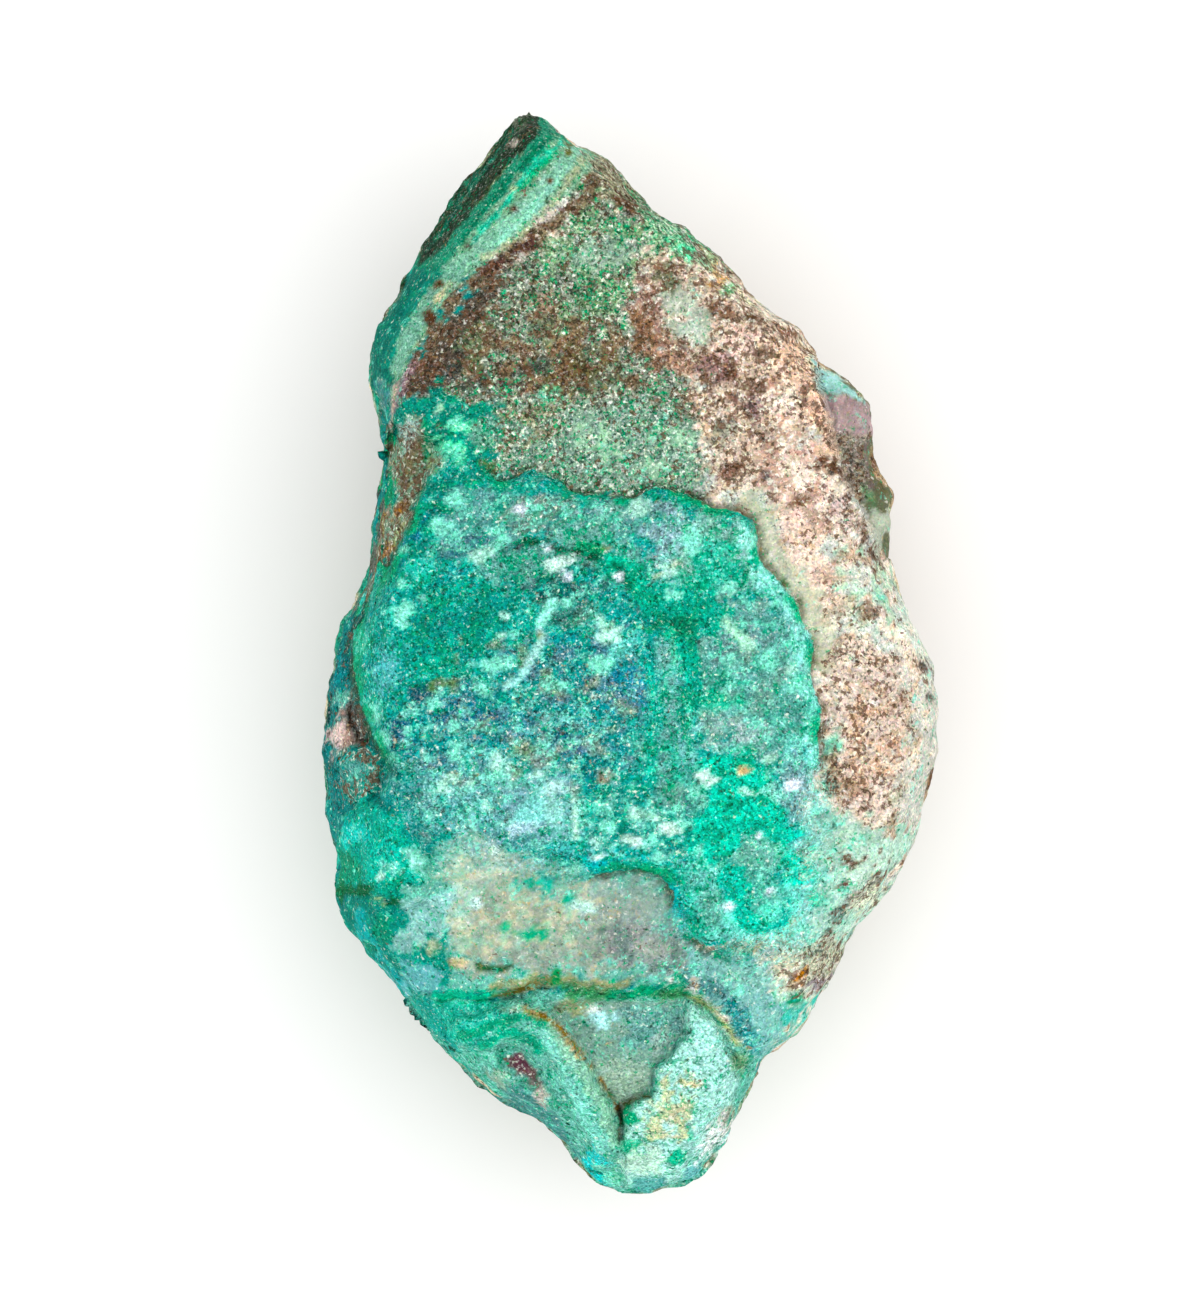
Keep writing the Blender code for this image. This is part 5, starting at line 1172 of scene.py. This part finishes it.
def paintStone(s, points, wall):
    # colour and grain of every point, colour and edge of the crust, and the square roots of what is
    # mixed in. Down the walls the marks drift sideways with a noise
    places = withSeen(s, points)
    drift = np.stack([clouds(points, 2.6, seed, 3) for seed in (71, 72)], axis=1)
    places[:, :2] += 2.4 * wall[:, None] * drift
    rim = rimHeight(s, points[:, 0], points[:, 1])
    stray = clouds(places, 0.9, 41, 4)
    crumbs = clouds(places, 0.4, 42, 2)
    cover, depth, crisp, edge = crustCover(places[:, 0], places[:, 1], stray)

    def lay(look, mark, mask):
        # three parts of colour and nine shares, moved towards the mark
        mask = (mask * mark.get("strength", 1.0))[:, None]
        look[:, :3] += (toLight(mark["colour"]) - look[:, :3]) * mask
        if mark.get("mix"):
            look[:, 3:] += (np.array(mixes[mark["mix"]]) - look[:, 3:]) * mask

    stone = np.zeros((len(points), 12))
    for mark in paintMarks:
        lay(stone, mark, markMask(mark, places, stray, crumbs))
    shadow = fade(depth + 0.1 * crumbs, -0.5, -0.12) * crisp * fade(clouds(places, 1.4, 81, 2), -0.6, 0.0)
    lay(stone, {"colour": (50, 62, 38), "strength": 0.8}, shadow)

    crust = np.zeros((len(points), 12))
    for mark in crustMarks:
        lay(crust, mark, markMask(mark, places, stray, crumbs))
    lip = crisp * fade(depth + 0.25 * crumbs, 0.6, 0.2) * fade(clouds(places, 1.7, 82, 2), -0.3, 0.2)
    lay(crust, {"colour": (4, 156, 104), "strength": 0.9, "mix": "clean"}, lip)
    stone[:, 3:] += (crust[:, 3:] - stone[:, 3:]) * cover[:, None]

    # flanks: each look has a heading it favours, a height it favours and patches of its own
    ragged = clouds(points, 2.4, 83, 3)
    under = fade(rim - points[:, 2] + 1.6 * ragged + 2.4 * wall * (1.0 + ragged), 1.6, 3.8)
    edge = edge * (1.0 - under)
    heading = points[:, :2] / np.maximum(np.linalg.norm(points[:, :2], axis=1), 1e-6)[:, None]
    for look in flankLooks:
        if "heading" in look:
            turn = math.radians(look["heading"])
            facing = heading @ np.array((math.cos(turn), math.sin(turn)))
        else:
            facing = np.zeros(len(points))
        noise = clouds(points, look["size"], look["seed"], 4) + look.get("pull", 0.0) * facing
        start = np.quantile(noise[under > 0.5], 1.0 - look["part"])
        lay(stone, look, under * fade(noise, start - look["soft"], start + look["soft"]))

    # gentle wash of lighter and darker places over everything
    wash = (1.0 + 0.16 * clouds(points, 1.6, 84, 3) + 0.1 * clouds(points, 0.5, 85, 2))[:, None]
    stone = np.clip(stone * np.where(np.arange(12) < 3, wash, 1.0), 0.0, 1.5)
    crust = np.column_stack((np.clip(crust[:, :3] * wash, 0.0, 1.0), edge))
    return stone[:, (0, 1, 2, 11)], crust, np.sqrt(stone[:, 3:11])


# what covers the flanks and the underside: "heading" is the side it favours in degrees and "pull"
# how strongly, "part" the share of the flanks it covers, "size" of its patches in mm
flankLooks = (
    {"colour": (150, 136, 114), "part": 1.0, "size": 6.0, "seed": 201, "soft": 0.54,
     "mix": "granular"},
    {"colour": (196, 174, 146), "part": 0.5, "heading": 0.0, "pull": 0.9, "size": 6.0, "seed": 202,
     "soft": 0.46, "mix": "tan"},
    {"colour": (84, 108, 94), "part": 0.34, "heading": 175.0, "pull": 0.9, "size": 5.0, "seed": 203,
     "soft": 0.46, "mix": "murky"},
    {"colour": (112, 84, 62), "part": 0.22, "size": 4.0, "seed": 204, "soft": 0.38,
     "mix": "clot"},
    {"colour": (150, 168, 134), "part": 0.2, "size": 4.5, "seed": 205, "soft": 0.38,
     "mix": "sage"},
    {"colour": (40, 150, 126), "part": 0.12, "heading": 190.0, "pull": 0.6, "size": 4.0, "seed": 206,
     "soft": 0.22, "mix": "crust"},
    {"colour": (150, 202, 178), "part": 0.12, "heading": 265.0, "pull": 0.7, "size": 3.4, "seed": 207,
     "soft": 0.28, "mix": "film"},
    {"colour": (226, 212, 188), "part": 0.1, "size": 2.2, "seed": 208, "soft": 0.28,
     "mix": "cream"},
    {"colour": (92, 56, 36), "part": 0.08, "size": 2.6, "seed": 209, "soft": 0.25,
     "mix": "clot"},
)

grid, under = sections(stoneShape)
grid = evenOut(stoneShape, grid, under)
wall = fade(outward(grid)[:, :, 2], 0.3, 0.1)    # 1 on the walls and underneath
grid, cover = raiseMarks(stoneShape, grid)
print("sections laid and marks raised,", grid.shape[0], "by", grid.shape[1], "points")

grid = roughen(roughLayers, stoneShape, grid, cover)
rows, columns = grid.shape[:2]
ends = np.array(stoneShape["ends"])
points = splitFlanks(stoneShape, np.concatenate((grid.reshape(-1, 3), ends)))
points[:, 2] = np.maximum(points[:, 2], 0.0)
print("surface roughened and split")

tint, crustTint, rootShares = paintStone(stoneShape, points, np.append(wall, (1.0, 1.0)))
print("colours laid")


def closedFaces(rows, columns):
    # quads between neighbouring sections, each closing on itself, and a fan of triangles to each end
    i, j = np.meshgrid(np.arange(rows - 1), np.arange(columns), indexing="ij")
    after = (j + 1) % columns
    here, below = i * columns, (i + 1) * columns
    quads = np.stack((here + j, here + after, below + after, below + j), axis=-1)
    ring = np.arange(columns)
    last = (rows - 1) * columns
    onward = (ring + 1) % columns
    first = np.stack((np.full(columns, rows * columns), onward, ring), axis=1)
    final = np.stack((np.full(columns, rows * columns + 1), last + ring, last + onward), axis=1)
    return quads.reshape(-1, 4).tolist() + first.tolist() + final.tolist()


def makePiece(name, vertices, faces, material):
    # smooth-shaded mesh from worked-out points and faces
    mesh = bpy.data.meshes.new(name)
    mesh.from_pydata(vertices.tolist(), [], faces)
    mesh.polygons.foreach_set("use_smooth", np.ones(len(mesh.polygons), bool))
    mesh.materials.append(material)
    piece = bpy.data.objects.new(name, mesh)
    bpy.context.scene.collection.objects.link(piece)
    return piece


def addPointColours(piece, name, values):
    # values per point, red green blue and a fourth
    layer = piece.data.attributes.new(name, "FLOAT_COLOR", "POINT")
    if values.shape[1] == 3:
        values = np.column_stack((values, np.ones(len(values))))
    layer.data.foreach_set("color", values.ravel())


# the material, written as sums of shader nodes

class Wire:
    # one output of a shader node, so that shader sums read as plain sums
    def __init__(self, tree, socket=None):
        self.tree = tree
        self.socket = socket

    def node(self, kind, settings=None, inputs=None, output=0):
        # adds a node: its settings first, then its inputs as numbers or wires
        made = self.tree.nodes.new(kind)
        for name, value in (settings or {}).items():
            setattr(made, name, value)
        for name, value in (inputs or {}).items():
            if isinstance(value, Wire):
                self.tree.links.new(value.socket, made.inputs[name])
            else:
                made.inputs[name].default_value = value
        return Wire(self.tree, made.outputs[output])

    def output(self, name):
        return Wire(self.tree, self.socket.node.outputs[name])

    def sum(self, operation, *values):
        return self.node("ShaderNodeMath", {"operation": operation}, dict(enumerate(values)))

    def __add__(self, other):
        return self.sum("ADD", self, other)

    def __sub__(self, other):
        return self.sum("SUBTRACT", self, other)

    def __rsub__(self, other):
        return self.sum("SUBTRACT", other, self)

    def __mul__(self, other):
        return self.sum("MULTIPLY", self, other)

    def __gt__(self, other):
        return self.sum("GREATER_THAN", self, other)

    def held(self):
        # kept between 0 and 1
        return self.node("ShaderNodeClamp", inputs={0: self})

    __radd__ = __add__
    __rmul__ = __mul__

    def mixed(self, other, share, blend="MIX"):
        # this colour moved towards the other by the share
        settings = {"data_type": "RGBA", "blend_type": blend, "clamp_result": False}
        return self.node("ShaderNodeMix", settings, {0: share, 6: self, 7: other}, 2)


def newMaterial(name):
    material = bpy.data.materials.new(name)
    material.use_nodes = True
    shader = material.node_tree.nodes["Principled BSDF"]
    return material, shader, Wire(material.node_tree)


def plug(wire, shader, name):
    wire.tree.links.new(wire.socket, shader.inputs[name])


stoneLook = {
    "speck": 0.24,         # mm across a speck of another mineral
    "crowd": 1.1,          # mm across the places where specks crowd together
    "veil": 0.85,          # mm across a cloud of another colour
    "grain": 0.12,         # mm across one grain
    "fine": 0.1,           # mm across the finest grit
    "jog": 0.3,            # mm across the waves that bend the grains' edges
    "jogReach": 0.12,      # mm those waves move them
    "darkSpeck": (0.19, 0.2, 0.2, 1.0),    # multiplies what is under it
    "paleSpeck": (0.85, 0.9, 0.8, 1.0),
    "greenSpeck": (0.01, 0.34, 0.16, 1.0),
    "brownSpeck": (0.13, 0.077, 0.05, 1.0),
    "emerald": (0.0, 0.26, 0.13, 1.0),
    "mint": (0.3, 0.78, 0.64, 1.0),
    "slate": (0.16, 0.21, 0.235, 1.0),
    "ochre": (0.5, 0.33, 0.19, 1.0),
    # how much of what is under it each speck and cloud covers
    "darkCover": 0.8,
    "paleCover": 0.6,
    "greenCover": 0.7,
    "brownCover": 0.85,
    "emeraldCover": 0.75,
    "mintCover": 0.75,
    "slateCover": 0.65,
    "ochreCover": 0.6,
    "depths": 0.5,         # how far neighbouring places differ in lightness
    "contrast": 0.85,      # how far grains differ in lightness
    "frost": 0.36,         # how far the palest grains turn white
    "hues": 0.14,          # how far grains differ in hue
    "strong": 1.25,        # 1 leaves the colours as mixed, more makes them purer
    "roughness": 0.66,
    "shine": 0.04,
    "relief": 0.07,        # mm of bump between grains
}


def stoneMaterial(look):
    material, shader, wire = newMaterial("amazonite")
    place = wire.node("ShaderNodeTexCoord", output="Object")

    def parts(attribute):
        # the four parts of a point attribute
        colour = wire.node("ShaderNodeAttribute", {"attribute_name": attribute}, output="Color")
        red = wire.node("ShaderNodeSeparateColor", inputs={0: colour})
        return red, red.output("Green"), red.output("Blue"), colour.output("Alpha")

    tint = wire.node("ShaderNodeAttribute", {"attribute_name": "tint"}, output="Color")
    grainy = tint.output("Alpha")
    crust = wire.node("ShaderNodeAttribute", {"attribute_name": "crust"}, output="Color")
    darkShare, paleShare, greenShare, brownShare = parts("specks")
    emeraldShare, mintShare, slateShare, ochreShare = parts("veils")

    def clouds(size, detail, shift):
        # three clouds of their own in one noise
        moved = wire.node("ShaderNodeVectorMath", {"operation": "ADD"}, {0: place, 1: (shift * mm,) * 3})
        made = wire.node("ShaderNodeTexNoise", inputs={"Vector": moved, "Scale": 1.0 / (size * mm),
                                                       "Detail": detail, "Roughness": 0.64,
                                                       "Distortion": 0.35})
        red = wire.node("ShaderNodeSeparateColor", inputs={0: made.output("Color")})
        return red, red.output("Green"), red.output("Blue")

    darkCloud, paleCloud, greenCloud = clouds(look["speck"], 1.5, 0.0)
    brownCloud, lightCloud, ochreCloud = clouds(look["speck"] * 2.2, 3.0, 70.0)
    emeraldCloud, mintCloud, slateCloud = clouds(look["veil"], 5.0, 210.0)
    crowd, crowdPale, wide = clouds(look["crowd"], 3.0, 140.0)

    # grains: two sizes of cell, each with a random colour whose parts lift or sink the clouds
    jog = wire.node("ShaderNodeTexNoise",
                    inputs={"Vector": place, "Scale": 1.0 / (look["jog"] * mm), "Detail": 1.0})
    jogged = wire.node("ShaderNodeVectorMath", {"operation": "MULTIPLY_ADD"},
                       {0: jog.output("Color"), 1: (look["jogReach"] * mm,) * 3, 2: place})
    big = wire.node("ShaderNodeTexVoronoi",
                    inputs={"Vector": jogged, "Scale": 1.0 / (look["speck"] * 0.8 * mm)})
    bigRed = wire.node("ShaderNodeSeparateColor", inputs={0: big.output("Color")})
    grain = wire.node("ShaderNodeTexVoronoi",
                      inputs={"Vector": jogged, "Scale": 1.0 / (look["grain"] * mm)})
    luckRed = wire.node("ShaderNodeSeparateColor", inputs={0: grain.output("Color")})
    bigGreen, luckGreen, luckBlue = bigRed.output("Green"), luckRed.output("Green"), luckRed.output("Blue")

    def veil(cloud, share):
        # covers its share of the place: the higher the share, the lower the height it starts from
        return ((cloud + luckGreen * 0.1 - (0.8 - share * 0.38)) * 8.0).held()

    def specks(cloud, cell, small, share, crowding, crisp):
        height = cloud + cell * 0.3 + small * 0.16
        start = 1.12 - 0.5 / crisp
        return ((height - (start - share * (0.5 + crowding) * 0.5)) * crisp).held()

    fine = wire.node("ShaderNodeTexNoise",
                     inputs={"Vector": place, "Scale": 1.0 / (look["fine"] * mm), "Detail": 2.0})
    edge = crust.output("Alpha") + (fine - 0.5) * 0.12 + (darkCloud - 0.5) * 0.1
    tint = tint.mixed(crust, ((edge - 0.5) * 10.0 + 0.5).held())
    colour = tint
    for name, cloud, share in (("ochre", ochreCloud, ochreShare), ("emerald", emeraldCloud, emeraldShare),
                               ("slate", slateCloud, slateShare), ("mint", mintCloud, mintShare)):
        colour = colour.mixed(look[name], veil(cloud, share) * look[name + "Cover"])
    for name, *made in (("green", greenCloud, bigRed, luckGreen, greenShare, crowd, 9.0),
                        ("pale", paleCloud, bigGreen, luckRed, paleShare, crowdPale, 5.0),
                        ("brown", brownCloud, bigRed, luckBlue, brownShare, crowd, 11.0)):
        colour = colour.mixed(look[name + "Speck"], specks(*made) * look[name + "Cover"])
    dark = specks(darkCloud, 1.0 - bigGreen, luckGreen, darkShare, wide, 8.0)
    colour = colour.mixed(look["darkSpeck"], dark * look["darkCover"], "MULTIPLY")
    frost = ((luckBlue * 0.5 + fine - 0.9) * 2.2).held() * grainy * look["frost"]
    colour = colour.mixed(look["paleSpeck"], frost)

    value = (luckRed - 0.5) * look["contrast"] * 0.8 + (fine - 0.5) * look["contrast"] * 1.6
    value = 1.0 + value * grainy
    value = value * (1.0 + ((lightCloud - 0.5) * 2.2 + (wide - 0.5) * 0.9) * look["depths"])
    hue = wire.node("ShaderNodeVectorMath", {"operation": "MULTIPLY_ADD"},
                    {0: grain.output("Color"), 1: (look["hues"],) * 3, 2: (1.0 - 0.5 * look["hues"],) * 3})
    hue = wire.node("ShaderNodeVectorMath", {"operation": "SCALE"}, {0: hue, "Scale": value})
    colour = colour.mixed(hue, 1.0, "MULTIPLY")
    strong = wire.node("ShaderNodeHueSaturation", inputs={"Saturation": look["strong"], "Color": colour})
    plug(strong, shader, "Base Color")

    rough = look["roughness"] + luckBlue * 0.24 - (luckGreen > 0.985) * 0.25
    plug(rough, shader, "Roughness")
    height = (grain * -0.5 + big * -0.8 + fine * 0.6) * grainy + lightCloud * 1.4
    bump = wire.node("ShaderNodeBump", inputs={"Strength": 1.0, "Distance": look["relief"] * mm,
                                               "Height": height})
    plug(bump, shader, "Normal")
    shader.inputs["Specular IOR Level"].default_value = look["shine"]
    return material


material = stoneMaterial(stoneLook)
solid = fitBox(points)
stone = makePiece("amazoniteRough", solid, closedFaces(rows, columns), material)
addPointColours(stone, "tint", tint)
addPointColours(stone, "crust", crustTint)
addPointColours(stone, "specks", rootShares[:, :4])
addPointColours(stone, "veils", rootShares[:, 4:])
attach(stone, "root")
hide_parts("amazonite_stone")
print("stone made,", sum(len(f.vertices) - 2 for f in stone.data.polygons), "triangles")


# table, light and camera

room = {
    "table": 1.2,            # m across the table
    "tableColour": (0.95, 0.95, 0.95, 1.0),
    "skyColour": (1.0, 0.995, 0.985, 1.0),
    "sky": 0.84,
    "mainPower": 3.2,        # W
    "mainSize": 1.0,         # m
    "mainPlace": (0.16, 0.04, 0.7),
    "fillPower": 0.5,
    "fillSize": 0.6,
    "fillPlace": (-0.4, -0.3, 0.45),
    "cameraPlace": (-2.01, 0.21),    # mm, plan place the camera looks straight down on
    "cameraReach": 600.0,            # mm from the widest line
    "frameHeight": 67.03,            # mm of plan that fill the picture's height
}


def makeTable(r):
    material, shader, wire = newMaterial("table")
    shader.inputs["Base Color"].default_value = r["tableColour"]
    shader.inputs["Roughness"].default_value = 0.9
    shader.inputs["Specular IOR Level"].default_value = 0.1
    half = 0.5 * r["table"]
    corners = np.array(((-half, -half, 0.0), (half, -half, 0.0), (half, half, 0.0), (-half, half, 0.0)))
    table = makePiece("table", corners, [(0, 1, 2, 3)], material)
    return table


def makeLamp(name, place, size, power):
    lamp = bpy.data.lights.new(name, "AREA")
    lamp.shape = "DISK"
    lamp.size = size
    lamp.energy = power
    held = bpy.data.objects.new(name, lamp)
    held.location = place
    away = np.array(place) - np.array((0.0, 0.0, 0.015))
    flat = math.hypot(away[0], away[1])
    held.rotation_euler = (math.atan2(flat, away[2]), 0.0, math.atan2(away[1], away[0]) + math.pi / 2)
    bpy.context.scene.collection.objects.link(held)
    return held


def makeWorld(r):
    world = bpy.data.worlds.new("studio")
    world.use_nodes = True
    sky = world.node_tree.nodes["Background"]
    sky.inputs["Color"].default_value = r["skyColour"]
    sky.inputs["Strength"].default_value = r["sky"]
    bpy.context.scene.world = world


def makeCamera(r, s):
    camera = bpy.data.cameras.new("above")
    camera.sensor_width = 36.0
    camera.lens = 36.0 * r["cameraReach"] / r["frameHeight"]
    camera.clip_start = 0.05
    camera.clip_end = 10.0
    held = bpy.data.objects.new("above", camera)
    x, y = r["cameraPlace"]
    held.location = (x * mm, y * mm, (s["rimHeightSeen"] + r["cameraReach"]) * mm)
    bpy.context.scene.collection.objects.link(held)
    bpy.context.scene.camera = held
    return held


makeTable(room)
makeLamp("main lamp", room["mainPlace"], room["mainSize"], room["mainPower"])
makeLamp("fill lamp", room["fillPlace"], room["fillSize"], room["fillPower"])
makeWorld(room)
makeCamera(room, stoneShape)
bpy.context.scene.view_settings.view_transform = "Standard"
print("table, lamps, sky and camera set")
